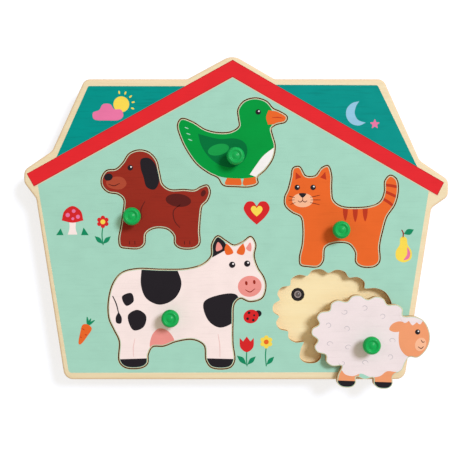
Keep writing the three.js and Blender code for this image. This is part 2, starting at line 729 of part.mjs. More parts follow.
function speakerGroup() {
  const lip = speakerRadius - speakerFlange;
  const seat = magnetRadius + speakerSheet;
  const basket = [
    [0, speakerDepth - speakerSheet], [seat, speakerDepth - speakerSheet],
    [lip, speakerFlangeThickness], [lip, 0], [speakerRadius, 0],
    [speakerRadius, speakerFlangeThickness], [lip + speakerSheet, speakerFlangeThickness + speakerSheet],
    [seat + speakerSheet, speakerDepth], [0, speakerDepth],
  ];
  const rim = lip - fitGap;
  const throat = magnetRadius / 2;
  const deep = speakerDepth - 2 * speakerSheet - fitGap;
  const cone = [
    [0, deep / 2], [throat, deep - coneSheet], [rim - speakerFlange, speakerSheet],
    [rim - speakerFlange / 2, speakerSheet - coneSheet], [rim, speakerSheet - coneSheet],
    [rim, speakerSheet], [rim - speakerFlange, speakerSheet + coneSheet], [throat, deep],
    [0, deep / 2 + coneSheet],
  ];
  return group(
    speakerPlace.x, speakerPlace.y, backTop,
    mesh("speaker_basket", turned(basket, speakerSides), steel, 0.4, 1),
    mesh("speaker_cone", turned(cone, speakerSides), 0x2b2b2e, 0.8),
    mesh("speaker_magnet", turned([[0, speakerDepth], [magnetRadius, speakerDepth],
      [magnetRadius, speakerDepth + magnetThickness], [0, speakerDepth + magnetThickness]], speakerSides),
    0x55565a, 0.4, 1),
  );
}

// Battery box

class SpringCurve extends THREE.Curve {
  // A cone-shaped winding along +X from the plate to the cell
  getPoint(t) {
    const radius = THREE.MathUtils.lerp(springBaseRadius, springTipRadius, t);
    const angle = 2 * Math.PI * springTurns * t;
    return new THREE.Vector3(t * springLength, radius * Math.cos(angle), radius * Math.sin(angle));
  }
}

function springSolid() {
  const sides = 5;
  const section = Array.from({ length: sides }, (_, i) => {
    const angle = (2 * Math.PI * i) / sides;
    return point(springWireRadius * Math.cos(angle), springWireRadius * Math.sin(angle));
  });
  const options = { steps: 8 * springTurns, extrudePath: new SpringCurve(), bevelEnabled: false };
  return new THREE.ExtrudeGeometry(new THREE.Shape(section), options);
}

// The least gap between neighbouring turns, measured on points of the winding
function leastSpringGap() {
  const perTurn = 24;
  const places = new SpringCurve().getPoints(perTurn * springTurns);
  let least = Infinity;
  places.forEach((here, i) => {
    places.slice(i + perTurn / 2).forEach((there) => {
      least = Math.min(least, here.distanceTo(there) - 2 * springWireRadius);
    });
  });
  return least;
}

function contactPlate(side, middleY, width) {
  const face = side < 0 ? bayStart + fitGap : bayEnd - fitGap - contactSheet;
  return box([face, face + contactSheet], centred(width, middleY), centred(contactHeight, cellAxis));
}

// A spring standing on its plate's inner face, started inside the sheet so that the two are one piece
function spring(side, middleY) {
  const face = side < 0 ? bayStart + fitGap : bayEnd - fitGap;
  const made = springSolid().translate(contactSheet - springWireRadius, 0, 0);
  if (side > 0) made.rotateZ(Math.PI);
  return made.translate(face, middleY, cellAxis);
}

function cellGeometry(side, middleY) {
  const rim = cellRadius - cellRim;
  const body = cellLength - cellNubLength;
  const profile = [
    [0, 0], [rim, 0], [cellRadius, cellRim], [cellRadius, body - cellRim], [rim, body],
    [cellNubRadius, body], [cellNubRadius, cellLength], [0, cellLength],
  ];
  const made = turned(profile, cellSides).rotateY((-side * Math.PI) / 2);
  const nub = side < 0 ? bayEnd - 2 * fitGap - contactSheet : bayStart + 2 * fitGap + contactSheet;
  return made.translate(nub + side * cellLength, middleY, cellAxis);
}

function batteryBox() {
  const outer = box(centred(boxLength), centred(boxWidth), [doorRecess, boxTop]);
  const flange = box(
    centred(boxLength + 2 * boxFlange), centred(boxWidth + 2 * boxFlange),
    [backTop, backTop + boxFlangeThickness],
  );
  const inside = centred(boxWidth - 2 * boxWall);
  const bay = box([bayStart, bayEnd], inside, [-cutOverrun, bayTop]);
  const seat = box(centred(boxLength - 2 * boxWall), inside, [-cutOverrun, seatTop]);
  const ledgeTop = doorTop - tongueThickness - tongueGap;
  const slot = box(
    [-boxLength / 2 - cutOverrun, bayStart + fitGap], centred(tongueWidth + 2 * fitGap),
    [ledgeTop, doorTop + slotHeadroom],
  );
  const post = turned([
    [0, 0], [doorScrewShankRadius + doorScrewClearance, 0],
    [doorScrewShankRadius + doorScrewClearance, doorRecess + screwSink + doorScrewLength + fitGap],
    [0, doorRecess + screwSink + doorScrewLength + fitGap],
  ], screwSides).translate(bayEnd + postLength / 2, 0, 0);
  const shell = cut(join([outer, flange]), [bay, seat, slot, post]);
  return mesh("battery_box", geometryOf(shell), blackPlastic, 0.5);
}

function batteryDoor() {
  const start = bayStart + doorEndGap;
  const end = boxLength / 2 - boxWall - fitGap;
  const sheet = box([start, end], centred(bayWidth - 2 * fitGap), [doorRecess, doorTop]);
  const tongue = box(
    [start - tongueLength, start + tongueLength], centred(tongueWidth),
    [doorTop - tongueThickness, doorTop],
  );
  const hole = turned(
    screwHoleProfile(
      doorScrewHeadRadius, doorScrewHeadDepth, doorScrewShankRadius, doorScrewLength, screwClearance,
    ), screwSides,
  ).translate(bayEnd + postLength / 2, 0, doorRecess + screwSink);
  return mesh("battery_door", geometryOf(cut(join([sheet, tongue]), [hole])), blackPlastic, 0.5);
}

function batteryGroup() {
  const lane = cellRadius + cellGap / 2;
  const bridge = join([contactPlate(-1, 0, 2 * lane + contactWidth), spring(-1, -lane)]);
  const negative = join([contactPlate(1, lane, contactWidth), spring(1, lane)]);
  const doorScrew = turned(
    screwProfile(doorScrewHeadRadius, doorScrewHeadDepth, doorScrewShankRadius, doorScrewLength), screwSides,
  ).translate(bayEnd + postLength / 2, 0, doorRecess + screwSink);
  return group(
    boxPlace.x, boxPlace.y, 0,
    batteryBox(),
    mesh("contact_bridge", geometryOf(bridge), steel, 0.3, 1),
    mesh("contact_negative", geometryOf(negative), steel, 0.3, 1),
    mesh("contact_positive", contactPlate(1, -lane, contactWidth), steel, 0.3, 1),
    mesh("cell_1", cellGeometry(-1, -lane), 0x2f6f9f, 0.4, 0.3),
    mesh("cell_2", cellGeometry(1, lane), 0x2f6f9f, 0.4, 0.3),
    batteryDoor(),
    mesh("door_screw", doorScrew, steel, 0.35, 1),
  );
}

// Switch

function switchGroup() {
  const cavity = sliderBaseLength + switchTravel + 2 * fitGap;
  const ceiling = backTop + 2 * fitGap + sliderBaseHeight;
  const shell = cut(
    solidOf(box(centred(switchLength), centred(switchWidth), [backTop, backTop + switchHeight])),
    [box(centred(cavity), centred(switchWidth - 2 * switchWall), [backTop - cutOverrun, ceiling])],
  );
  const off = -switchTravel / 2;
  const baseLow = backTop + fitGap;
  const baseWidth = switchWidth - 2 * switchWall - 2 * fitGap;
  const slider = join([
    box(centred(sliderBaseLength, off), centred(baseWidth), [baseLow, baseLow + sliderBaseHeight]),
    box(centred(sliderNubLength, off), centred(sliderNubWidth), [sliderNubSink, baseLow + fitGap]),
  ]);
  return group(
    switchPlace.x, switchPlace.y, 0,
    mesh("switch_case", geometryOf(shell), steel, 0.4, 1),
    mesh("switch_slider", geometryOf(slider), blackPlastic, 0.5),
  );
}

console.log(`least gap between spring turns: ${leastSpringGap().toFixed(2)} mm`);

const puzzle = new THREE.Group();
puzzle.add(
  faceBoard(), floorBoard(), coreBoard(), backBoard(), ...backScrews(),
  ...animals.map(pieceGroup),
  ...animals.map(sensorGroup),
  ...animals.map(sensorLead),
  circuitGroup(), speakerGroup(), batteryGroup(), switchGroup(),
  levelLead("speaker_lead", speakerLeadStart, speakerLeadWay, leadEnd("speaker")),
  levelLead("battery_lead", batteryLeadStart, [1, 0], leadEnd("battery")),
  levelLead("switch_lead", switchLeadStart, [0, 1], leadEnd("switch")),
);
export default puzzle;
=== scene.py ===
"""Looks of a house-shaped wooden sound puzzle with five knobbed animal pieces.

A piece is modelled in millimetres and then brought to metres in the model's own frame: +X to
the right, +Y to the roof's apex and +Z out of the printed face, with the origin in the middle of
the flat back.
"""
import json
import logging
import math
from collections.abc import Collection, Iterator, Sequence
from contextlib import contextmanager
from dataclasses import dataclass
from enum import Enum
from functools import cached_property

import bpy
from mathutils import Matrix, Vector

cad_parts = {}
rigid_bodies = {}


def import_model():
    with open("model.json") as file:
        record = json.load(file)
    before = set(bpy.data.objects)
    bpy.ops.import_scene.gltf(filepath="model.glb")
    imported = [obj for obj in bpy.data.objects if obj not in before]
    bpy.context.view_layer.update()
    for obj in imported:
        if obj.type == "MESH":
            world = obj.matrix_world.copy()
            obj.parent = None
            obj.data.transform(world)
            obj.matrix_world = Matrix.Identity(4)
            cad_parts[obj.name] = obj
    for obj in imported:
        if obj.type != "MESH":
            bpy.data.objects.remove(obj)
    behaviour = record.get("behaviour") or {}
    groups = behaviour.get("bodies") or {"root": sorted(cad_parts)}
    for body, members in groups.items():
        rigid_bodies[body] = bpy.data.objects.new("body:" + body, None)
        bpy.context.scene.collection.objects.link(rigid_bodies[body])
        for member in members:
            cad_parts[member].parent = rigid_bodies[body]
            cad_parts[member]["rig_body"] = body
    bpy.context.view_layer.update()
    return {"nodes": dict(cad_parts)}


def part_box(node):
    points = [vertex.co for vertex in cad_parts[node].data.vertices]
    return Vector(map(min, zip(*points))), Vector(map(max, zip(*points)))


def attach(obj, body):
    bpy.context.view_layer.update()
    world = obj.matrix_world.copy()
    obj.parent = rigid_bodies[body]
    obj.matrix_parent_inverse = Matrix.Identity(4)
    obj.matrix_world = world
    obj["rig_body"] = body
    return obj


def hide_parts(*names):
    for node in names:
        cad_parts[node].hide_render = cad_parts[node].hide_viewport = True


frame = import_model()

LOG = logging.getLogger("sound_puzzle")

Point = tuple[float, float]
Loop = list[Point]
Colour = tuple[int, int, int]
Piece = bpy.types.Object
Node = bpy.types.Node
Socket = bpy.types.NodeSocket
Sockets = bpy.types.bpy_prop_collection
Tree = bpy.types.NodeTree

# One millimetre in metres, and the distance in millimetres below which points merge
MM = 0.001
MERGE_MM = 0.0005

# How finely curved lines are drawn
ARC_STEP = math.radians(4)
OVAL_SIDES = 36
LOBE_SIDES = 14
STROKE_STEPS = 8
ARC_FACE = math.radians(15)

# The least cosine at a corner of a moved outline, so that a sharp one doesn't reach far out
CORNER_COSINE = 0.5

# Heights of the recesses' floor and of the printed face, in millimetres
FLOOR_TOP = 17.0
FACE_TOP = 23.0

# How far a cutting tool reaches past what it cuts
CUT_MARGIN = 1.0

# The play round a knob's screw, and how deep its head is sunk
SCREW_PLAY = 0.3
SCREW_SINK = 0.3

# How far a print reaches into the wood, what each layer adds, and its gap to a recess
INK_SINK = 0.02
INK_STEP = 0.03
PRINT_GAP = 0.12

# The angles past which an edge stays sharp, in degrees
SHARP_TURN = 30.0
SHARP_TURNED = 35.0
SHARP_SCREW = 25.0


# Outlines in the plane, in millimetres


def blend_knots(knots: tuple[Point, Point, Point, Point], share: float) -> Point:
    """Gives a point of a centripetal spline between the middle two of four knots.

    Args:
        knots: The knot before, the two ends and the knot after.
        share: How far along from the first end, from 0 to 1.

    Returns:
        The point.
    """
    gaps = [max(math.dist(a, b), 1e-8) ** 0.5 for a, b in zip(knots, knots[1:])]
    before, here, after = gaps
    place = []
    for x0, x1, x2, x3 in zip(*knots):
        leave = ((x1 - x0) / before - (x2 - x0) / (before + here) + (x2 - x1) / here) * here
        arrive = ((x2 - x1) / here - (x3 - x1) / (here + after) + (x3 - x2) / after) * here
        square = -3 * x1 + 3 * x2 - 2 * leave - arrive
        cube = 2 * x1 - 2 * x2 + leave + arrive
        place.append(x1 + leave * share + square * share**2 + cube * share**3)
    return place[0], place[1]


def beyond(inner: Point, end: Point) -> Point:
    """Gives the point as far past an end as an inner point lies before it."""
    return 2 * end[0] - inner[0], 2 * end[1] - inner[1]


def smooth_loop(knots: Sequence[Point], corners: Collection[int] = (), steps: int = 6) -> Loop:
    """Draws a closed smooth line through knots.

    Args:
        knots: The knots in order.
        corners: The knots where the line turns sharply.
        steps: The points from one knot to the next.

    Returns:
        The closed line.
    """
    count = len(knots)
    line = []
    for i in range(count):
        here, there = knots[i], knots[(i + 1) % count]
        before = beyond(there, here) if i in corners else knots[i - 1]
        after = beyond(here, there) if (i + 1) % count in corners else knots[(i + 2) % count]
        line += [blend_knots((before, here, there, after), k / steps) for k in range(steps)]
    return line


def smooth_path(knots: Sequence[Point], steps: int) -> Loop:
    """Draws an open smooth line through knots.

    Args:
        knots: The knots in order.
        steps: The points from one knot to the next.

    Returns:
        The line, from the first knot to the last.
    """
    padded = [beyond(knots[1], knots[0]), *knots, beyond(knots[-2], knots[-1])]
    line = [
        blend_knots((padded[i], padded[i + 1], padded[i + 2], padded[i + 3]), k / steps)
        for i in range(len(knots) - 1)
        for k in range(steps)
    ]
    return [*line, knots[-1]]


def area_of(loop: Loop) -> float:
    """Gives a loop's area, positive where it runs anticlockwise."""
    return sum(x0 * y1 - x1 * y0 for (x0, y0), (x1, y1) in zip(loop, loop[1:] + loop[:1])) / 2


def offset_loop(loop: Loop, distance: float) -> Loop:
    """Moves a loop outward, or inward for a negative distance, and drops what would fold over.

    Args:
        loop: An anticlockwise loop.
        distance: How far its sides move out.

    Returns:
        The moved loop.
    """
    count = len(loop)
    moved = []
    for i, here in enumerate(loop):
        before = (Vector(here) - Vector(loop[i - 1])).normalized()
        after = (Vector(loop[(i + 1) % count]) - Vector(here)).normalized()
        along = (before + after).normalized()
        reach = distance / max(along.dot(after), CORNER_COSINE)
        moved.append((here[0] + along.y * reach, here[1] - along.x * reach))
    kept = []
    for i, place in enumerate(moved):
        then = moved[(i + 1) % count]
        old = Vector(loop[(i + 1) % count]) - Vector(loop[i])
        if (Vector(then) - Vector(place)).dot(old) > 0:
            kept.append(place)
    return kept


def grown(loop: Loop, distance: float) -> Loop:
    """Moves a loop outward, whichever way it runs."""
    return offset_loop(loop if area_of(loop) > 0 else loop[::-1], distance)


def rounded_loop(corners: Sequence[tuple[float, float, float]]) -> Loop:
    """Joins corners by straight sides and rounds each one.

    Args:
        corners: The x, y and radius of each corner, anticlockwise.

    Returns:
        The rounded loop.
    """
    count = len(corners)
    places = [Vector(corner[:2]) for corner in corners]
    bends = []
    for i, here in enumerate(places):
        back = (places[i - 1] - here).normalized()
        ahead = (places[(i + 1) % count] - here).normalized()
        half = math.acos(max(-1.0, min(1.0, back.dot(ahead)))) / 2
        bends.append((back, ahead, half, corners[i][2] / math.tan(half)))
    room = []
    for i, here in enumerate(places):
        following = (i + 1) % count
        side = (places[following] - here).length
        room.append(min(1.0, side / (bends[i][3] + bends[following][3])))
    line = []
    for i, here in enumerate(places):
        back, ahead, half, reach = bends[i]
        reach *= min(room[i], room[i - 1])
        radius = reach * math.tan(half)
        centre = here + (back + ahead).normalized() * (radius / math.sin(half))
        start, end = here + back * reach - centre, here + ahead * reach - centre
        turn = math.atan2(start.x * end.y - start.y * end.x, start.dot(end))
        steps = max(2, round(abs(turn) / ARC_STEP))
        for k in range(steps + 1):
            cos, sin = math.cos(turn * k / steps), math.sin(turn * k / steps)
            line.append((
                centre.x + start.x * cos - start.y * sin,
                centre.y + start.x * sin + start.y * cos,
            ))
    return line


def moved_loop(loop: Loop, x: float, y: float, turn: float = 0.0, size: float = 1.0) -> Loop:
    """Sizes and turns a loop about zero, then moves it; the turn is in degrees."""
    cos, sin = math.cos(math.radians(turn)) * size, math.sin(math.radians(turn)) * size
    return [(x + px * cos - py * sin, y + px * sin + py * cos) for px, py in loop]


def around(x: float, y: float, reach: float, angle: float) -> Point:
    """Gives the point at a distance and an angle in radians from a middle."""
    return x + reach * math.cos(angle), y + reach * math.sin(angle)


def oval(x: float, y: float, across: float, up: float | None = None, turn: float = 0.0) -> Loop:
    """Draws an ellipse by its two radii, or a circle by one."""
    up = across if up is None else up
    angles = [2 * math.pi * k / OVAL_SIDES for k in range(OVAL_SIDES)]
    return moved_loop([(across * math.cos(a), up * math.sin(a)) for a in angles], x, y, turn)


def lobed(x: float, y: float, radius: float, lobes: int, depth: float) -> Loop:
    """Draws a flower-like ring of round lobes.

    Args:
        x: Its middle's place to the right.
        y: Its middle's place up.
        radius: How far the lobes reach.
        lobes: How many there are.
        depth: How deep the valleys between them are, as a share of the radius.

    Returns:
        The ring's closed outline.
    """
    fullness = 0.7
    count = lobes * LOBE_SIDES
    line = []
    for k in range(count):
        angle = 2 * math.pi * k / count
        reach = radius * (1 - depth * (1 - abs(math.sin(angle * lobes / 2)) ** fullness))
        line.append(around(x, y, reach, angle))
    return line


def ribbon(knots: Sequence[Point], width: float, tip: float = 0.55) -> Loop:
    """Draws a brush stroke along a smooth path.

    Args:
        knots: The path's knots.
        width: The stroke's width in its middle.
        tip: The share of the width that is left at the ends.

    Returns:
        The stroke's closed outline.
    """
    path = smooth_path(knots, STROKE_STEPS)
    last = len(path) - 1
    left, right = [], []
    for i, (x, y) in enumerate(path):
        ahead, behind = path[min(i + 1, last)], path[max(i - 1, 0)]
        way = Vector((ahead[0] - behind[0], ahead[1] - behind[1])).normalized()
        half = width / 2 * (tip + (1 - tip) * math.sin(math.pi * i / last))
        left.append((x - way.y * half, y + way.x * half))
        right.append((x + way.y * half, y - way.x * half))
    return left + right[::-1]


# Meshes


def deselect_all() -> None:
    """Leaves edit mode and selects nothing."""
    if bpy.context.object and bpy.context.object.mode != "OBJECT":
        bpy.ops.object.mode_set(mode="OBJECT")
    bpy.ops.object.select_all(action="DESELECT")


def make_active(made: Piece) -> None:
    """Selects one object alone and makes it the active one."""
    deselect_all()
    made.select_set(True)
    bpy.context.view_layer.objects.active = made


def added(name: str) -> Piece:
    """Names the piece that was just added and gives it."""
    bpy.context.object.name = name
    return bpy.context.object


def ring(name: str, places: Sequence[tuple[float, float, float]], fill: str) -> Piece:
    """Joins places to a ring of edges.

    Args:
        name: The piece's name.
        places: The corners in order.
        fill: How the ring is filled, NGON or NOTHING.

    Returns:
        The piece, still in millimetres.
    """
    deselect_all()
    bpy.ops.mesh.primitive_circle_add(vertices=len(places), radius=1, fill_type=fill)
    made = added(name)
    for vertex, place in zip(made.data.vertices, places):
        vertex.co = place
    return made


@contextmanager
def edit_mode() -> Iterator[None]:
    """Edits the active piece, with all of it selected, and leaves edit mode at the end."""
    bpy.ops.object.mode_set(mode="EDIT")
    bpy.ops.mesh.select_all(action="SELECT")
    yield
    bpy.ops.object.mode_set(mode="OBJECT")


def tidy_faces() -> None:
    """In edit mode, merges doubled points, drops loose ones and turns every face outwards."""
    bpy.ops.mesh.select_all(action="SELECT")
    bpy.ops.mesh.remove_doubles(threshold=MERGE_MM)
    bpy.ops.mesh.delete_loose(use_verts=True, use_edges=True, use_faces=False)
    bpy.ops.mesh.select_all(action="SELECT")
    bpy.ops.mesh.normals_make_consistent(inside=False)


def slab(name: str, loop: Loop, low: float, high: float) -> Piece:
    """Extrudes a filled ring that follows a loop.

    Args:
        name: The piece's name.
        loop: Its outline.
        low: The height of its lower face.
        high: The height of its upper face.

    Returns:
        The piece, still in millimetres.
    """
    made = ring(name, [(x, y, low) for x, y in loop], "NGON")
    with edit_mode():
        bpy.ops.mesh.extrude_region_move(TRANSFORM_OT_translate={"value": (0, 0, high - low)})
        tidy_faces()
    return made


def round_rim(made: Piece, height: float, width: float, segments: int) -> None:
    """Rounds the edges that lie at one height.

    Args:
        made: The piece, in millimetres.
        height: The height of the edges.
        width: How far the rounding reaches.
        segments: The faces across it.
    """
    make_active(made)
    bpy.ops.object.mode_set(mode="EDIT")
    bpy.ops.mesh.select_mode(type="EDGE")
    bpy.ops.mesh.select_all(action="DESELECT")
    bpy.ops.object.mode_set(mode="OBJECT")
    points = made.data.vertices
    for edge in made.data.edges:
        edge.select = all(abs(points[v].co.z - height) < MERGE_MM for v in edge.vertices)
    bpy.ops.object.mode_set(mode="EDIT")
    bpy.ops.mesh.bevel(offset=width, segments=segments, profile=0.5, clamp_overlap=True)
    bpy.ops.mesh.select_mode(type="VERT")
    bpy.ops.object.mode_set(mode="OBJECT")


def flat_print(name: str, loops: Sequence[Loop], low: float, high: float) -> Piece:
    """Fills a flat curve and gives it a thickness; a loop inside another is a hole.

    Args:
        name: The piece's name.
        loops: Its outlines.
        low: The height of its lower face.
        high: The height of its upper face.

    Returns:
        The piece, still in millimetres.
    """
    deselect_all()
    bpy.ops.curve.primitive_bezier_circle_add(radius=1)
    curve = bpy.context.object.data
    curve.dimensions = "2D"
    curve.fill_mode = "BOTH"
    curve.splines.clear()
    for loop in loops:
        spline = curve.splines.new("POLY")
        spline.points.add(len(loop) - 1)
        for knot, (x, y) in zip(spline.points, loop):
            knot.co = (x, y, 0, 1)
        spline.use_cyclic_u = True
    curve.extrude = (high - low) / 2
    bpy.ops.object.convert(target="MESH")
    made = added(name)
    with edit_mode():
        tidy_faces()
        bpy.ops.transform.translate(value=(0, 0, (low + high) / 2))
    return made


def turned(name: str, section: Sequence[Point], sides: int, sharp: float | None = None) -> Piece:
    """Spins a closed section round Z.

    Args:
        name: The piece's name.
        section: Radius and height of each of its corners.
        sides: The sides of the turned piece.
        sharp: The angle past which an edge stays sharp; without one, the piece isn't shaded smooth.

    Returns:
        The piece, still in millimetres.
    """
    made = ring(name, [(radius, 0, height) for radius, height in section], "NOTHING")
    with edit_mode():
        bpy.ops.mesh.spin(steps=sides, angle=2 * math.pi, center=(0, 0, 0), axis=(0, 0, 1))
        tidy_faces()
    if sharp:
        smooth_faces(made, sharp)
    return made


def block(name: str, low: Vector, high: Vector, round_by: float, segments: int = 3) -> Piece:
    """Makes a box between two corners with all its edges rounded.

    Args:
        name: The piece's name.
        low: The lowest corner.
        high: The highest corner.
        round_by: The rounding's width.
        segments: The faces across it.

    Returns:
        The piece, still in millimetres.
    """
    deselect_all()
    bpy.ops.mesh.primitive_cube_add(size=1, location=(low + high) / 2, scale=high - low)
    made = added(name)
    bpy.ops.object.transform_apply(location=True, rotation=True, scale=True)
    with edit_mode():
        bpy.ops.mesh.bevel(offset=round_by, segments=segments, profile=0.5, clamp_overlap=True)
    return made


def combine(made: Piece, tool: Piece, operation: str = "DIFFERENCE") -> None:
    """Applies a boolean with a tool and removes the tool.

    Args:
        made: The piece that stays.
        tool: The solid that cuts it or is added to it.
        operation: The boolean's operation.
    """
    make_active(made)
    change = made.modifiers.new("combine", "BOOLEAN")
    change.operation = operation
    change.object = tool
    change.solver = "EXACT"
    bpy.ops.object.modifier_apply(modifier=change.name)
    bpy.data.objects.remove(tool)


def smooth_faces(made: Piece, sharp: float = SHARP_TURN) -> None:
    """Shades a piece smooth, apart from edges that turn by more than an angle in degrees."""
    make_active(made)
    bpy.ops.object.shade_smooth_by_angle(angle=math.radians(sharp))


def copied(made: Piece, name: str) -> Piece:
    """Gives a copy of a piece with a mesh of its own."""
    make_active(made)
    bpy.ops.object.duplicate(linked=False)
    return added(name)


def dress(made: Piece, finish: "Finish", body: str, stands_for: str | None) -> None:
    """Gives a piece its finish, puts it on its body and reports it.

    Args:
        made: The piece, in metres and in its place.
        finish: What it is made of.
        body: The body of the frame that it moves with.
        stands_for: The node of the frame that it replaces.
    """
    made.data.materials.clear()
    made.data.materials.append(finish.material())
    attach(made, body)
    if stands_for:
        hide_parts(stands_for)
    LOG.info("%s rides on %s, %d faces", made.name, body, len(made.data.polygons))


@dataclass(frozen=True)
class Seat:
    """Where a piece modelled about zero belongs, and what it rides on.

    Args:
        body: The body of the frame that it moves with.
        x: Its place to the right.
        y: Its place up the board.
        z: Its height.
        turn: Its turn about Z in degrees.
    """

    body: str
    x: float = 0.0
    y: float = 0.0
    z: float = 0.0
    turn: float = 0.0

    def settle(
        self, made: Piece, finish: "Finish", slot: str, stands_for: str | None = None
    ) -> None:
        """Brings a finished piece to its place in metres and dresses it.

        Args:
            made: The piece in millimetres.
            finish: What it is made of.
            slot: The record's name of that material; not used.
            stands_for: The node of the frame that it replaces.
        """
        make_active(made)
        made.location = (self.x * MM, self.y * MM, self.z * MM)
        made.rotation_euler = (0, 0, math.radians(self.turn))
        made.scale = (MM, MM, MM)
        bpy.ops.object.transform_apply(location=True, rotation=True, scale=True)
        made.data.name = made.name
        dress(made, finish, self.body, stands_for)


# Materials


def linear(colour: Colour) -> tuple[float, float, float, float]:
    """Gives a screen colour of 0 to 255 as Blender's linear colour."""
    shares = [channel / 255 for channel in colour]
    curved = [s / 12.92 if s <= 0.04045 else ((s + 0.055) / 1.055) ** 2.4 for s in shares]
    return curved[0], curved[1], curved[2], 1.0


class Ink(Enum):
    """The printing inks, by screen colour."""

    MINT = (166, 217, 194)
    TEAL = (0, 149, 138)
    ROOF_RED = (230, 42, 48)
    DEEP_RED = (184, 32, 36)
    RED = (215, 40, 42)
    LEAF = (20, 140, 95)
    DUCK_GREEN = (0, 155, 62)
    DUCK_DARK = (0, 116, 58)
    DUCK_LIGHT = (24, 160, 74)
    ORANGE = (236, 106, 42)
    RUST = (190, 58, 32)
    BROWN = (152, 46, 32)
    DARK_BROWN = (92, 32, 28)
    LIGHT_BROWN = (178, 76, 52)
    BLACK = (36, 32, 36)
    CREAM = (252, 235, 228)
    SOFT_PINK = (240, 206, 198)
    SAND = (232, 206, 172)
    PINK = (240, 152, 142)
    ROSE = (236, 122, 166)
    WHITE = (250, 246, 242)
    WOOL = (243, 230, 228)
    CURL = (206, 198, 200)
    PEACH = (242, 160, 112)
    PALE_PEACH = (250, 190, 150)
    YELLOW = (250, 222, 84)
    SKY = (150, 202, 226)


class Sheet:
    """Adds and joins the nodes of one material or group."""

    def __init__(self, tree: Tree) -> None:
        """Keeps the tree that the nodes go in."""
        self.tree = tree

    def add(
        self, kind: str, inputs: dict[str | int, object] | None = None, **settings: object
    ) -> Node:
        """Adds a node.

        Args:
            kind: Its type, without the prefix ShaderNode.
            inputs: What each input holds, a value or the socket that feeds it.
            settings: Its other settings.

        Returns:
            The node.
        """
        node = self.tree.nodes.new(kind if kind.startswith("NodeGroup") else f"ShaderNode{kind}")
        for name, value in settings.items():
            setattr(node, name, value)
        for name, value in (inputs or {}).items():
            if isinstance(value, Socket):
                self.tree.links.new(value, node.inputs[name])
            else:
                node.inputs[name].default_value = value
        return node

    def maths(self, operation: str, *values: object) -> Socket:
        """Adds a Math node and gives its result."""
        return self.add("Math", dict(enumerate(values)), operation=operation).outputs[0]

    def plus(self, first: object, second: object) -> Socket:
        """Gives the sum of two values."""
        return self.maths("ADD", first, second)

    def times(self, first: object, second: object) -> Socket:
        """Gives the product of two values."""
        return self.maths("MULTIPLY", first, second)

    def mix(self, share: object, first: object, second: object, blend: str = "MIX") -> Socket:
        """Adds a colour Mix node and gives its result."""
        given = {0: share, 6: first, 7: second}
        node = self.add("Mix", given, data_type="RGBA", blend_type=blend, clamp_factor=True)
        return node.outputs[2]

    def blend(self, share: object, first: object, second: object) -> Socket:
        """Gives a value between two others."""
        return self.add("Mix", {0: share, 2: first, 3: second}).outputs[0]

    def tint(self, colour: object, value: object) -> Socket:
        """Gives a colour with its brightness changed by a factor."""
        return self.add("HueSaturation", {"Color": colour, "Value": value}).outputs[0]

    def effect(self, group: Tree, **inputs: object) -> Sockets:
        """Places an effect with what its inputs hold, and gives its outputs."""
        return self.add("Group", inputs, node_tree=group).outputs

    def noise(self, place: Socket, scale: Sequence[float], detail: float) -> Socket:
        """Gives noise of a size along each axis, in cycles to the metre."""
        moved = self.add("Mapping", {"Vector": place, "Scale": tuple(scale)})
        node = self.add("TexNoise", {"Vector": moved.outputs[0], "Scale": 1.0, "Detail": detail})
        return node.outputs[0]

    def spread(self, value: Socket, low: float, high: float) -> Socket:
        """Stretches a value so that low becomes 0 and high becomes 1."""
        return self.add("MapRange", {"Value": value, "From Min": low, "From Max": high}).outputs[0]

    def figure(
        self, place: Socket, scale: Sequence[float], detail: float, low: float, high: float
    ) -> Socket:
        """Gives noise that is stretched from a low and a high value to 0 and 1."""
        return self.spread(self.noise(place, scale, detail), low, high)


def blank_sheet(owner: bpy.types.Material | bpy.types.World) -> Sheet:
    """Clears the nodes of a new material or world and gives its sheet."""
    owner.use_nodes = True
    owner.node_tree.nodes.clear()
    return Sheet(owner.node_tree)


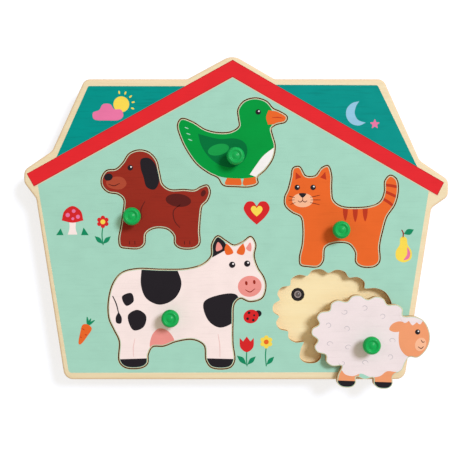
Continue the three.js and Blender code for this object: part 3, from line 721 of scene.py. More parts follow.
class Effects:
    """The effects that several materials share, each a group that is built once."""

    relief = {"Color": "Color", "Height": "Float"}
    surface = {**relief, "Roughness": "Float"}

    def start(
        self, name: str, inputs: dict[str, str], outputs: dict[str, str]
    ) -> tuple[Sheet, dict[str, Socket], Node]:
        """Begins a group.

        Args:
            name: The group's name.
            inputs: The kind of each input socket.
            outputs: The kind of each output socket.

        Returns:
            The sheet to build on, the group's inputs by name and the node that takes its outputs.
        """
        tree = bpy.data.node_groups.new(name, "ShaderNodeTree")
        for in_out, sockets in (("INPUT", inputs), ("OUTPUT", outputs)):
            for label, kind in sockets.items():
                tree.interface.new_socket(
                    name=label, in_out=in_out, socket_type=f"NodeSocket{kind}"
                )
        sheet = Sheet(tree)
        given = sheet.add("NodeGroupInput")
        return sheet, {s.name: s for s in given.outputs if s.name}, sheet.add("NodeGroupOutput")

    def end(self, sheet: Sheet, taken: Node, results: dict[str, Socket]) -> Tree:
        """Joins a group's results to its outputs and gives its tree."""
        for label, socket in results.items():
            sheet.tree.links.new(socket, taken.inputs[label])
        return sheet.tree

    @cached_property
    def grain(self) -> Tree:
        """Long wood grain along X, with broad figure and fine pores."""
        sheet, given, taken = self.start(
            "wood_grain", {"Place": "Vector", "Pale": "Color", "Deep": "Color"}, self.relief
        )
        broad = sheet.figure(given["Place"], (9, 130, 130), 4, 0.35, 0.68)
        lines = sheet.figure(given["Place"], (26, 1100, 1100), 3, 0.42, 0.7)
        pores = sheet.figure(given["Place"], (220, 3600, 3600), 2, 0.56, 0.72)
        share = sheet.plus(sheet.times(broad, 0.45), sheet.times(lines, 0.4))
        colour = sheet.mix(share, given["Pale"], given["Deep"])
        darker = sheet.mix(sheet.times(pores, 0.35), colour, given["Deep"])
        height = sheet.times(sheet.plus(lines, pores), -1.0)
        return self.end(sheet, taken, {"Color": darker, "Height": height})

    @cached_property
    def plies(self) -> Tree:
        """The bands of a plywood edge, stacked along Z, long grain and end grain by turns."""
        sheet, given, taken = self.start(
            "ply_edge",
            {"Place": "Vector", "Pale": "Color", "Deep": "Color", "Pitch": "Float"},
            self.relief,
        )
        split = sheet.add("SeparateXYZ", {"Vector": given["Place"]})
        wander = sheet.times(sheet.noise(given["Place"], (60, 60, 60), 2), 0.00035)
        level = sheet.maths("DIVIDE", sheet.plus(split.outputs[2], wander), given["Pitch"])
        band = sheet.spread(sheet.maths("PINGPONG", level, 1.0), 0.42, 0.58)
        specks = sheet.figure(given["Place"], (900, 900, 2600), 3, 0.4, 0.66)
        streaks = sheet.figure(given["Place"], (160, 160, 4200), 3, 0.38, 0.66)
        end_grain = sheet.times(specks, 0.5)
        long_grain = sheet.plus(sheet.times(streaks, 0.25), 0.55)
        colour = sheet.mix(sheet.blend(band, end_grain, long_grain), given["Pale"], given["Deep"])
        height = sheet.times(sheet.plus(specks, band), -0.5)
        return self.end(sheet, taken, {"Color": colour, "Height": height})

    @cached_property
    def sanded(self) -> Tree:
        """How far a surface faces up or down, and a mask of the rounded edge in between."""
        sheet, given, taken = self.start(
            "sanded_edge", {"Facing": "Vector"}, {"Flat": "Float", "Edge": "Float"}
        )
        split = sheet.add("SeparateXYZ", {"Vector": given["Facing"]})
        upright = sheet.maths("ABSOLUTE", split.outputs[2])
        flat = sheet.spread(upright, 0.3, 0.6)
        edge = sheet.times(sheet.spread(upright, 0.99, 0.9), sheet.spread(upright, 0.02, 0.25))
        return self.end(sheet, taken, {"Flat": flat, "Edge": edge})

    @cached_property
    def print_coat(self) -> Tree:
        """Ink on wood: faint streaks of the grain below, small specks and an uneven gloss."""
        sheet, given, taken = self.start(
            "print_coat", {"Place": "Vector", "Ink": "Color", "Streak": "Float"}, self.surface
        )
        streaks = sheet.figure(given["Place"], (55, 900, 900), 2, 0.54, 0.7)
        clouds = sheet.figure(given["Place"], (70, 90, 90), 2, 0.35, 0.7)
        specks = sheet.figure(given["Place"], (2600, 2600, 2600), 2, 0.5, 0.72)
        uneven = sheet.times(sheet.maths("SUBTRACT", specks, clouds), 0.05)
        shade = sheet.tint(given["Ink"], sheet.plus(1.0, uneven))
        wear_and_shade_tone = sheet.times(streaks, given["Streak"])
        colour = sheet.mix(wear_and_shade_tone, shade, (0.1, 0.12, 0.12, 1), "MULTIPLY")
        rough = sheet.plus(0.42, sheet.times(clouds, 0.16))
        height = sheet.plus(sheet.times(streaks, -1.0), sheet.times(specks, 0.4))
        return self.end(sheet, taken, {"Color": colour, "Roughness": rough, "Height": height})

    @cached_property
    def moulded(self) -> Tree:
        """Moulded plastic: a slight flow in the colour, a fine grain and finger-dulled patches."""
        sheet, given, taken = self.start(
            "moulded_grain",
            {"Place": "Vector", "Colour": "Color", "Gloss": "Float"},
            self.surface,
        )
        flow = sheet.figure(given["Place"], (120, 120, 240), 3, 0.3, 0.7)
        patches = sheet.figure(given["Place"], (320, 320, 320), 3, 0.4, 0.7)
        grain = sheet.noise(given["Place"], (5200, 5200, 5200), 1)
        colour = sheet.tint(given["Colour"], sheet.plus(0.95, sheet.times(flow, 0.08)))
        rough = sheet.plus(given["Gloss"], sheet.times(patches, 0.12))
        return self.end(sheet, taken, {"Color": colour, "Roughness": rough, "Height": grain})

    @cached_property
    def rolled(self) -> Tree:
        """Rolled metal: drawn scratches and a mottled plating."""
        sheet, given, taken = self.start(
            "rolled_metal", {"Place": "Vector", "Colour": "Color"}, self.surface
        )
        scratches = sheet.noise(given["Place"], (300, 7000, 7000), 2)
        mottle = sheet.figure(given["Place"], (700, 700, 700), 3, 0.35, 0.7)
        value = sheet.maths("SUBTRACT", 1.05, sheet.times(mottle, 0.2))
        colour = sheet.tint(given["Colour"], value)
        rough = sheet.plus(0.24, sheet.times(mottle, 0.2))
        return self.end(sheet, taken, {"Color": colour, "Roughness": rough, "Height": scratches})


EFFECTS = Effects()


class Finish:
    """A finish whose material is made once and then shared."""

    name: str
    made: dict[str, bpy.types.Material] = {}

    def title(self) -> str:
        """Gives the material's name."""
        return self.name

    def paint(self, sheet: Sheet, where: Node, shader: Node) -> None:
        """Builds the finish's nodes.

        Args:
            sheet: The material's nodes.
            where: The Texture Coordinate node.
            shader: The Principled BSDF that they feed.
        """
        raise NotImplementedError

    def material(self) -> bpy.types.Material:
        """Gives the finish's material, made at its first use."""
        title = self.title()
        if title not in Finish.made:
            made = bpy.data.materials.new(title)
            sheet = blank_sheet(made)
            where = sheet.add("TexCoord")
            shader = sheet.add("BsdfPrincipled")
            sheet.add("OutputMaterial", {"Surface": shader.outputs[0]})
            self.paint(sheet, where, shader)
            Finish.made[title] = made
        return Finish.made[title]

    def feed(
        self,
        sheet: Sheet,
        shader: Node,
        colour: Socket,
        rough: Socket | float,
        height: Socket,
        depth: float,
    ) -> None:
        """Joins a colour, a roughness and a height to the shader.

        Args:
            sheet: The material's nodes.
            shader: The shader that they feed.
            colour: The surface's colour.
            rough: Its roughness.
            height: Its relief, from 0 to about 1.
            depth: What a height of 1 stands for, in metres.
        """
        bump = sheet.add("Bump", {"Height": height, "Distance": depth, "Strength": 1.0})
        sheet.tree.links.new(colour, shader.inputs["Base Color"])
        sheet.tree.links.new(bump.outputs[0], shader.inputs["Normal"])
        if isinstance(rough, float):
            shader.inputs["Roughness"].default_value = rough
        else:
            sheet.tree.links.new(rough, shader.inputs["Roughness"])

    def coat(self, sheet: Sheet, shader: Node, skin: Sockets, depth: float) -> None:
        """Joins the outputs of an effect to the shader.

        Args:
            sheet: The material's nodes.
            shader: The shader that they feed.
            skin: The effect's colour, roughness and height.
            depth: What a height of 1 stands for, in metres.
        """
        self.feed(sheet, shader, skin["Color"], skin["Roughness"], skin["Height"], depth)


@dataclass(frozen=True)
class PrintInk(Finish):
    """A satin ink on the wood.

    Args:
        ink: Its colour.
        streak: How much of the grain shows through.
    """

    ink: Ink
    streak: float

    def title(self) -> str:
        """Gives the material's name."""
        return f"ink_{self.ink.name.lower()}"

    def paint(self, sheet: Sheet, where: Node, shader: Node) -> None:
        """Builds the ink's nodes; see Finish.paint for the arguments."""
        shader.inputs["Specular IOR Level"].default_value = 0.05
        place, ink = where.outputs["Object"], linear(self.ink.value)
        skin = sheet.effect(EFFECTS.print_coat, Place=place, Ink=ink, Streak=self.streak)
        self.coat(sheet, shader, skin, depth=0.00001)


@dataclass(frozen=True)
class Plywood(Finish):
    """Sanded plywood: grain on its faces, plies on its sides, and a darker tone on its rounded
    edges that is partly sanded wear and partly painted shade.

    Args:
        name: The material's name.
        pale: The colour between the grain lines.
        deep: The colour of the grain lines.
        side_pale: The colour of the long-grain plies.
        side_deep: The colour of the end-grain plies and glue lines.
        pitch: A ply's thickness in metres.
        wear_and_shade_tone: The colour of the rounded edges, partly sanded wear and partly painted
            shade.
        wear_and_shade_strength: How strongly that tone shows on them.
    """

    name: str
    pale: Colour
    deep: Colour
    side_pale: Colour
    side_deep: Colour
    pitch: float
    wear_and_shade_tone: Colour = (240, 209, 164)
    wear_and_shade_strength: float = 0.8

    def paint(self, sheet: Sheet, where: Node, shader: Node) -> None:
        """Builds the wood's nodes; see Finish.paint for the arguments."""
        place = where.outputs["Object"]
        grain = sheet.effect(
            EFFECTS.grain, Place=place, Pale=linear(self.pale), Deep=linear(self.deep)
        )
        plies = sheet.effect(
            EFFECTS.plies, Place=place, Pale=linear(self.side_pale), Deep=linear(self.side_deep),
            Pitch=self.pitch,
        )
        sanded = sheet.effect(EFFECTS.sanded, Facing=where.outputs["Normal"])
        body = sheet.mix(sanded["Flat"], plies["Color"], grain["Color"])
        # The rounded edges take a darker tone: partly sanded wear, partly painted shade where the
        # edge curves away from the light.
        colour = sheet.mix(sheet.times(sanded["Edge"], self.wear_and_shade_strength), body, linear(self.wear_and_shade_tone))
        height = sheet.blend(sanded["Flat"], plies["Height"], grain["Height"])
        shader.inputs["Specular IOR Level"].default_value = 0.25
        self.feed(sheet, shader, colour, rough=0.58, height=height, depth=0.00003)


@dataclass(frozen=True)
class Fibreboard(Finish):
    """Raw fibreboard, speckled all over and banded along its sides.

    Args:
        name: The material's name.
        pale: The colour of most of it.
        deep: The colour of its specks and bands.
    """

    name: str = "fibreboard"
    pale: Colour = (206, 168, 120)
    deep: Colour = (166, 124, 80)

    def paint(self, sheet: Sheet, where: Node, shader: Node) -> None:
        """Builds the board's nodes; see Finish.paint for the arguments."""
        place = where.outputs["Object"]
        specks = sheet.figure(place, (1500, 1500, 1500), 3, 0.35, 0.7)
        bands = sheet.figure(place, (30, 30, 700), 2, 0.35, 0.7)
        share = sheet.plus(sheet.times(specks, 0.35), sheet.times(bands, 0.3))
        colour = sheet.mix(share, linear(self.pale), linear(self.deep))
        self.feed(sheet, shader, colour, rough=0.82, height=specks, depth=0.00005)


@dataclass(frozen=True)
class Plastic(Finish):
    """Moulded plastic.

    Args:
        name: The material's name.
        colour: Its screen colour.
        gloss: Its least roughness.
        skin: The weight of its clear skin.
        grain: The depth of its moulded grain in metres.
        shine: The strength of its plain reflection, 0.5 for common plastic.
    """

    name: str
    colour: Colour
    gloss: float = 0.3
    skin: float = 0.0
    grain: float = 0.000008
    shine: float = 0.5

    def paint(self, sheet: Sheet, where: Node, shader: Node) -> None:
        """Builds the plastic's nodes; see Finish.paint for the arguments."""
        shader.inputs["Specular IOR Level"].default_value = self.shine
        shader.inputs["Coat Weight"].default_value = self.skin
        shader.inputs["Coat Roughness"].default_value = 0.25
        place, colour = where.outputs["Object"], linear(self.colour)
        skin = sheet.effect(EFFECTS.moulded, Place=place, Colour=colour, Gloss=self.gloss)
        self.coat(sheet, shader, skin, self.grain)


@dataclass(frozen=True)
class Metal(Finish):
    """Rolled or plated metal.

    Args:
        name: The material's name.
        colour: Its screen colour.
    """

    name: str
    colour: Colour

    def paint(self, sheet: Sheet, where: Node, shader: Node) -> None:
        """Builds the metal's nodes; see Finish.paint for the arguments."""
        shader.inputs["Metallic"].default_value = 1.0
        place, colour = where.outputs["Object"], linear(self.colour)
        skin = sheet.effect(EFFECTS.rolled, Place=place, Colour=colour)
        self.coat(sheet, shader, skin, depth=0.000006)


BIRCH = Plywood(
    "birch_plywood", (240, 225, 185), (233, 211, 164), (198, 146, 66), (134, 90, 36), 0.0015
)
PIECE_PLY = Plywood(
    "piece_plywood", (240, 212, 162), (224, 188, 134), (204, 166, 112), (140, 100, 60), 0.0012
)
FLOOR_PLY = Plywood(
    "floor_plywood", (253, 237, 186), (250, 229, 172), (232, 200, 148), (190, 148, 96), 0.00125
)
BACK_PLY = Plywood(
    "back_plywood", (236, 208, 162), (214, 176, 124), (222, 186, 132), (172, 128, 78), 0.001
)
FIBRE = Fibreboard()
KNOB_PLASTIC = Plastic("knob_green", (4, 170, 78), 0.34, 0.16, 0.000002, 0.12)
BLACK_PLASTIC = Plastic("black_plastic", (28, 21, 17), 0.42, 0.0, 0.000008, 0.18)
SENSOR_GREY = Plastic("sensor_grey", (150, 138, 132), 0.3, 0.0, 0.000004, 0.4)
LENS_RESIN = Plastic("lens_resin", (88, 78, 74), 0.16, 0.3, 0.000002, 0.4)
CHIP_RESIN = Plastic("chip_resin", (22, 22, 24), 0.2, 0.3)
CIRCUIT_GREEN = Plastic("circuit_green", (30, 104, 58), 0.35, 0.3)
SLEEVE = Plastic("capacitor_sleeve", (42, 54, 82), 0.3)
CONE_PAPER = Plastic("cone_paper", (46, 44, 46), 0.8, 0.0, 0.00004)
CELL_WRAP = Plastic("cell_wrap", (46, 112, 158), 0.25, 0.3)
LEAD_RUBBER = Plastic("lead_rubber", (196, 48, 44), 0.5)
SCREW_STEEL = Metal("screw_steel", (196, 197, 199))
PRESSED_STEEL = Metal("pressed_steel", (180, 181, 184))
FERRITE = Metal("magnet_ferrite", (96, 97, 100))
CONTACT_STEEL = Metal("contact_steel", (206, 207, 210))

# How much of the grain shows through an ink, and the inks that let more of it through
PLAIN_STREAK = 0.04
STREAKS = {Ink.TEAL: 0.17, Ink.BROWN: 0.12}


# Prints and pieces


@dataclass(frozen=True)
class Layer:
    """One printed colour of a picture.

    Args:
        name: What it shows.
        ink: Its colour.
        level: How many layers lie below it.
        loops: Its outlines; one inside another is a hole.
    """

    name: str
    ink: Ink
    level: int
    loops: list[Loop]

    def finish(self) -> PrintInk:
        """Gives the layer's ink with the streaks that it has."""
        return PrintInk(self.ink, STREAKS.get(self.ink, PLAIN_STREAK))

    def lay(
        self, seat: Seat, owner: str, top: float, slot: str, fence: Loop | None = None
    ) -> None:
        """Prints the layer on a surface.

        Args:
            seat: Where the printed piece belongs.
            owner: The name that the layer's own name follows.
            top: The height of the bare surface about the seat.
            slot: The record's name of its material.
            fence: A loop that the layer is cut to.
        """
        high = top + INK_STEP * (self.level + 1)
        made = flat_print(f"{owner}_{self.name}_ink", self.loops, top - INK_SINK, high)
        if fence:
            cutter = slab("fence", fence, top - CUT_MARGIN, high + CUT_MARGIN)
            combine(made, cutter, "INTERSECT")
        seat.settle(made, self.finish(), slot)


def spline_shares(shares: Sequence[Point], width: float, height: float, steps: int = 8) -> Loop:
    """Draws an animal's outline about zero from its shares of a width and height."""
    loop = smooth_loop(shares, steps=steps)
    if area_of(loop) < 0:
        loop.reverse()
    return [((x - 0.5) * width, (y - 0.5) * height) for x, y in loop]


def wool_shares() -> list[Point]:
    """Gives the scalloped part of the sheep's outline as shares of its size.

    Returns:
        Lobes round an ellipse, each a valley and two shoulders.
    """
    reaches = (0.9, 1.0, 1.0)
    start, end, count = math.radians(35), math.radians(243), 24
    line = []
    for i in range(count + 1):
        angle, reach = start + (end - start) * i / count, reaches[i % 3]
        line.append((0.44 + 0.44 * reach * math.cos(angle), 0.57 + 0.43 * reach * math.sin(angle)))
    return line


@dataclass
class Screw:
    """A countersunk cross-head screw with its head down at zero.

    Args:
        head: The head's radius.
        depth: The head's depth.
        shank: The shank's radius.
        length: Its whole length.
        point: The length of its point.
        sides: The sides of the turned screw.
    """

    head: float = 3.0
    depth: float = 1.8
    shank: float = 1.25
    length: float = 10.5
    point: float = 1.2
    sides: int = 36

    def model(self, name: str) -> Piece:
        """Models the screw.

        Args:
            name: The piece's name.

        Returns:
            The screw, still in millimetres.
        """
        head, shank = self.head, self.shank
        made = turned(name, [
            (0, 0), (head * 0.9, 0), (head, 0.12), (head, 0.3), (shank, self.depth),
            (shank, self.length - self.point), (shank * 0.3, self.length), (0, self.length),
        ], self.sides)
        arm, half, deep = head * 0.58, head * 0.13, self.depth * 0.7
        bars = [
            block("bar", Vector((-x, -y, -CUT_MARGIN)), Vector((x, y, deep)), half * 0.5)
            for x, y in ((arm, half), (half, arm))
        ]
        combine(bars[0], bars[1], "UNION")
        combine(made, bars[0])
        smooth_faces(made, SHARP_SCREW)
        return made

    def hole(self) -> Piece:
        """Makes the tool that cuts the screw's hole, with its play and its sink."""
        wide, narrow = self.head + SCREW_PLAY, self.shank + SCREW_PLAY
        end = self.length + SCREW_PLAY + SCREW_SINK
        return turned("hole", [
            (0, -CUT_MARGIN), (wide, -CUT_MARGIN), (wide, SCREW_SINK),
            (narrow, self.depth + SCREW_SINK), (narrow, end), (0, end),
        ], self.sides)


@dataclass
class Animal:
    """A knobbed animal piece, its recess and the light sensor below it.

    Args:
        name: The animal, and the body that it rides on.
        width: The piece's width.
        height: The piece's height.
        place: The middle of its recess on the board.
        knob: The knob's place as shares of the piece.
        sensor: The sensor's place as shares of the piece.
        shares: Its outline as shares of the piece.
        shift: How far it lies from its recess at rest.
        turn: How far it is turned at rest, in degrees.
        base: The height of its underside at rest.
        thickness: The piece's thickness.
        edge_round: How far its upper edge is rounded.
        edge_segments: The faces across that rounding.
        clearance: The gap round it in its recess.
        bare_edge: The bare wood inside its edge.
        print_edge: Where its prints end, so that a ring of the ground shows round them.
        ink_reach: How far the edge layers are widened before they are cut there.
        edge_layers: The layers that reach its edge.
    """

    name: str
    width: float
    height: float
    place: Point
    knob: Point
    sensor: Point
    shares: Sequence[Point]
    shift: Point = (0.0, 0.0)
    turn: float = 0.0
    base: float = FLOOR_TOP
    thickness: float = 6.0
    edge_round: float = 0.35
    edge_segments: int = 3
    clearance: float = 0.8
    bare_edge: float = 0.4
    print_edge: float = 0.7
    ink_reach: float = 1.1
    edge_layers: Collection[str] = ("body", "head", "beak", "feet", "near_ear", "far_ear")

    @cached_property
    def loop(self) -> Loop:
        """The piece's outline about its middle."""
        return spline_shares(self.shares, self.width, self.height)

    @property
    def seat(self) -> Seat:
        """Where the piece belongs at rest."""
        x, y = self.place[0] + self.shift[0], self.place[1] + self.shift[1]
        return Seat(self.name, x, y, self.base, self.turn)

    def recess(self, extra: float = 0.0) -> Loop:
        """The outline of its recess on the board, wider by an amount."""
        return moved_loop(offset_loop(self.loop, self.clearance + extra), *self.place)

    def spot(self, shares: Point) -> Point:
        """A place on the piece about its middle, from shares of its size."""
        return (shares[0] - 0.5) * self.width, (shares[1] - 0.5) * self.height

    def sensor_place(self) -> Point:
        """The sensor's place on the board."""
        x, y = self.spot(self.sensor)
        return self.place[0] + x, self.place[1] + y

    def mine(self, loop: Loop) -> Loop:
        """Moves a loop drawn from the piece's lower left corner to be about its middle."""
        return [(x - self.width / 2, y - self.height / 2) for x, y in loop]

    def artwork(self) -> list[Layer]:
        """The printed picture, drawn from the piece's lower left corner."""
        raise NotImplementedError

    def build_wood(self) -> None:
        """Makes the bare piece with the hole for its knob's screw."""
        wood = slab(f"{self.name}_wood", self.loop, 0, self.thickness)
        round_rim(wood, self.thickness, self.edge_round, self.edge_segments)
        hole = KNOB_SCREW.hole()
        hole.location = (*self.spot(self.knob), 0)
        combine(wood, hole)
        smooth_faces(wood)
        self.seat.settle(wood, PIECE_PLY, f"{self.name}_print", f"{self.name}_piece")

    def print_picture(self) -> None:
        """Prints the ground and then the picture, which ends a little inside of it."""
        place = (self.seat, self.name, self.thickness, f"{self.name}_print")
        ground = Layer("ground", Ink.MINT, 0, [offset_loop(self.loop, -self.bare_edge)])
        ground.lay(*place)
        fence = offset_loop(self.loop, -self.print_edge)
        for layer in self.artwork():
            loops = [self.mine(loop) for loop in layer.loops]
            if layer.name in self.edge_layers:
                loops = [grown(loop, self.ink_reach) for loop in loops]
            Layer(layer.name, layer.ink, layer.level, loops).lay(*place, fence)

    def build(self, knob: Piece, screw: Piece) -> None:
        """Makes the piece with its print, knob and screw.

        Args:
            knob: A finished knob about zero, to be copied.
            screw: A finished knob screw about zero, to be copied.
        """
        self.build_wood()
        self.print_picture()
        for source, part, height, finish, slot in (
            (knob, "knob", self.thickness, KNOB_PLASTIC, "knob_plastic"),
            (screw, "knob_screw", SCREW_SINK, SCREW_STEEL, "screw_steel"),
        ):
            made = copied(source, f"{self.name}_{part}_turned")
            made.data.transform(Matrix.Translation((*self.spot(self.knob), height)))
            self.seat.settle(made, finish, slot, f"{self.name}_{part}")

    def build_sensor(self, ring: Piece, cell: Piece, lens: Piece) -> None:
        """Makes the light sensor in the recess's floor from copies of finished parts.

        Args:
            ring: The ring about zero.
            cell: The cell about zero.
            lens: The lens about zero.
        """
        seat = Seat("board", *self.sensor_place(), FLOOR_TOP)
        for source, part, finish, slot in (
            (ring, "sensor_ring", BLACK_PLASTIC, "black_plastic"),
            (cell, "sensor_cell", SENSOR_GREY, "sensor_face"),
        ):
            made = copied(source, f"{self.name}_{part}_turned")
            seat.settle(made, finish, slot, f"{self.name}_{part}")
        seat.settle(copied(lens, f"{self.name}_sensor_lens"), LENS_RESIN, "sensor_face")


KNOB_SCREW = Screw(length=12.2)
BACK_SCREW = Screw(length=10.5)
DOOR_SCREW = Screw(head=2.0, depth=1.0, shank=0.9, length=6.5)


def eye(x: float, y: float, radius: float = 1.9, level: int = 4, side: str = "") -> list[Layer]:
    """Draws a plain dot eye with a small glint.

    Args:
        x: Its place to the right.
        y: Its place up.
        radius: The dot's radius.
        level: How many layers lie below it.
        side: What its layers' names start with.

    Returns:
        The dot's layer and the glint's.
    """
    glint = radius * 0.3
    return [
        Layer(f"{side}eye", Ink.BLACK, level, [oval(x, y, radius)]),
        Layer(f"{side}glint", Ink.WHITE, level + 1, [oval(x + glint, y + glint, glint)]),
    ]


class Duck(Animal):
    """The duck, which swims to the right."""

    def artwork(self) -> list[Layer]:
        """The printed duck."""
        body = smooth_loop([
            (66, 49.2), (64.6, 54.6), (60.4, 58.8), (54.4, 60.6), (48.2, 58.6), (44.4, 53.6),
            (44.4, 47.6), (44.6, 41.4), (38.2, 36.8), (28.4, 36.2), (18.8, 38.4), (9.8, 43.9),
            (3.2, 45.9), (1.5, 42.9), (3.7, 34.4), (8.2, 25.6), (14.8, 16.8), (23, 10.7), (31, 7.6),
            (40, 6.6), (50, 6.9), (55.8, 8.4), (60.3, 12.9), (65.4, 20.3), (67, 28.5), (65.1, 35.7),
            (64.3, 41.2), (65.8, 45),
        ])
        beak = smooth_loop([
            (64.6, 52.4), (70.4, 51.5), (75.4, 48.9), (74.6, 46.8), (69, 45), (64.4, 44.6),
            (63.4, 48.6),
        ], (0, 5))
        wing = smooth_loop([
            (49, 24.4), (47.4, 30.4), (41, 33.6), (29, 33.4), (14.2, 37), (16.4, 29), (21.6, 21),
            (29.6, 15), (38.6, 13.4), (46, 17.4),
        ], (4,))
        belly = smooth_loop([
            (69.6, 28.6), (69, 19.4), (63.6, 11.4), (57.4, 6.4), (50.6, 8.2), (55.6, 15.4),
            (60.4, 21.6),
        ], (0, 4))
        feet = [
            rounded_loop([(33.8, 1.5, 0.8), (44.2, 1.3, 0.8), (42.6, 7.4, 0.4), (36.6, 7.4, 0.4)]),
            rounded_loop([(46.4, 1.3, 0.8), (54.8, 2.6, 0.8), (54.2, 7.6, 0.4), (48.4, 7.6, 0.4)]),
        ]
        strokes = [
            ribbon([(4.8 + 1.2 * k, 41.6 - 4.2 * k), (7.4 + 1.3 * k, 40.6 - 4.2 * k)], 0.7)
            for k in range(3)
        ]
        return [
            Layer("feet", Ink.ORANGE, 1, feet),
            Layer("body", Ink.DUCK_GREEN, 2, [body]),
            Layer("belly", Ink.WHITE, 3, [belly]),
            Layer("wing", Ink.DUCK_DARK, 3, [wing]),
            Layer("feather", Ink.DUCK_LIGHT, 4, [oval(28.6, 25.8, 7.6, 3.9, 14)]),
            Layer("stroke", Ink.MINT, 3, strokes),
            Layer("beak", Ink.ORANGE, 3, [beak]),
            Layer("mouth", Ink.RUST, 4, [ribbon([(66.6, 48.4), (70.4, 48.6), (74.2, 48)], 0.6)]),
            *eye(56.6, 52.4),
        ]


class Dog(Animal):
    """The dog, which stands to the left."""

    def artwork(self) -> list[Layer]:
        """The printed dog."""
        body = smooth_loop([
            (1.4, 48.7), (2, 44), (5.6, 40.9), (12, 39.4), (16.9, 35), (16.5, 25.3), (15, 15),
            (13.7, 6.3), (14.4, 2.2), (18, 1.4), (26, 1.4), (28.4, 3.6), (29.7, 11), (36, 15.5),
            (46.2, 15.2), (52.4, 9.5), (53.1, 3.5), (56, 1.4), (64.5, 1.4), (67.2, 3.5),
            (67.2, 12.4), (68, 23), (69.3, 30), (73.2, 34.5), (74.8, 39.7), (73.7, 42.4),
            (70.4, 41.6), (66, 39.3), (57.9, 39.6), (47.6, 39.6), (41.6, 43.8), (39.1, 52.7),
            (36.9, 61.2), (32.1, 66.1), (25.9, 67.4), (20.2, 65.2), (15.9, 59), (10.3, 54.1),
            (3.9, 53.1),
        ])
        muzzle = smooth_loop([
            (3, 46.6), (4.2, 43.4), (8.2, 41.6), (14, 41.6), (17.4, 45.2), (15, 49.4), (9, 50.2),
        ])
        ear = smooth_loop([
            (27.6, 62.6), (32.6, 63.6), (37, 60.2), (39.6, 53.4), (40.2, 46), (37, 41.2),
            (31.6, 43), (29.4, 50), (27.4, 56.4),
        ])
        lines = [
            ribbon([(30.4, 33), (27.6, 27), (28.2, 20)], 0.7),
            ribbon([(55.4, 30.6), (50.6, 26.2), (51.4, 19), (55.2, 14.2)], 0.7),
            *(ribbon([(x, 2.4), (x - 0.2, 5)], 0.6) for x in (19.6, 23.4, 58.4, 62.2)),
        ]
        return [
            Layer("body", Ink.BROWN, 1, [body]),
            Layer("muzzle", Ink.LIGHT_BROWN, 2, [muzzle]),
            Layer("patch", Ink.DARK_BROWN, 2, [
                oval(54, 33.6, 9, 4.6, -6), oval(71.6, 38.6, 1.6, 2.4, -25),
            ]),
            Layer("line", Ink.DARK_BROWN, 2, lines),
            Layer("mouth", Ink.DARK_BROWN, 3, [
                ribbon([(4.6, 45), (8.6, 43.9), (12.6, 45.6)], 0.7),
            ]),
            Layer("ear", Ink.BLACK, 2, [ear]),
            Layer("nose", Ink.BLACK, 3, [oval(4.6, 50, 3, 2.5, 12)]),
            *eye(20, 56.6),
        ]


class Cat(Animal):
    """The cat, which stands to the left with its tail up."""

    def artwork(self) -> list[Layer]:
        """The printed cat."""
        body = smooth_loop([
            (2.1, 48.4), (2.6, 43.4), (7, 39.3), (13.3, 36), (15, 27.2), (14.6, 15.8), (12.8, 6),
            (13.3, 2.3), (17.1, 1.4), (23.8, 1.4), (26.2, 4.1), (27.8, 14.3), (35.8, 18.2),
            (46.4, 17.5), (51.9, 10.6), (52.4, 3.6), (55.2, 1.4), (63.3, 1.4), (65.8, 3.7),
            (65.9, 14.5), (68.3, 26), (71.4, 35), (76.7, 43.9), (79.1, 53.6), (78, 60.8),
            (75.4, 62.5), (72.8, 59.6), (72.4, 52.4), (69.4, 45.6), (63.2, 41.3), (51.5, 39.8),
            (39.8, 40.9), (33.4, 45.8), (32.1, 54.9), (32.1, 64), (30.4, 68.9), (27.8, 68.1),
            (22.7, 62.2), (14.8, 62.2), (10.3, 68.4), (7.8, 68.1), (6.5, 62), (4.5, 54.2),
        ])
        stripes = [
            smooth_loop([
                (x - 1.9, top), (x + 1.9, top), (x + 1.4, top - 7.4), (x, top - 11.4),
                (x - 1.4, top - 7.4),
            ], (0, 1))
            for x, top in ((43.4, 43.4), (50.4, 42.6), (57.4, 43))
        ]
        bands = [
            ribbon(knots, 2, 0.9)
            for knots in (
                [(68.4, 48.4), (73.6, 45.4), (78.6, 41.4)],
                [(70.4, 53), (75.8, 50.8), (81, 48.2)],
                [(70.8, 57.4), (76, 56.8), (81.4, 55.6)],
            )
        ]
        whiskers = [
            ribbon(ends, 0.45)
            for ends in (
                [(18.6, 48.6), (25.6, 50.2)], [(18.8, 46.8), (26, 46.8)],
                [(18.4, 45), (25.2, 43.4)], [(7.8, 48.4), (3.4, 49.4)],
                [(7.6, 46.8), (3.2, 46.6)], [(8.2, 45), (4.6, 43.6)],
            )
        ]
        ears = [
            smooth_loop([(8.4, 66.4), (8.2, 61.2), (12.4, 62.8)], (0, 1, 2)),
            smooth_loop([(29.2, 66.6), (25.6, 62.6), (30, 61)], (0, 1, 2)),
        ]
        smile = [
            ribbon([(13.2, 49), (13.1, 46.4), (11.4, 45.3), (9.8, 46.3)], 0.55),
            ribbon([(13.1, 46.4), (14.9, 45.3), (16.5, 46.3)], 0.55),
        ]
        return [
            Layer("body", Ink.ORANGE, 1, [body]),
            Layer("ear", Ink.RUST, 2, ears),
            Layer("stripe", Ink.RUST, 2, stripes),
            Layer("band", Ink.RUST, 2, bands),
            Layer("muzzle", Ink.PALE_PEACH, 2, [oval(13.2, 46.6, 7.4, 5)]),
            Layer("whisker", Ink.DARK_BROWN, 3, whiskers),
            Layer("smile", Ink.DARK_BROWN, 3, smile[:1]),
            Layer("grin", Ink.DARK_BROWN, 4, smile[1:]),
            Layer("nose", Ink.BLACK, 4, [smooth_loop([(10.6, 51.2), (15.8, 51.2), (13.2, 48.4)])]),
            *eye(9.4, 55.6),
            *eye(20.6, 55.6, side="far_"),
        ]


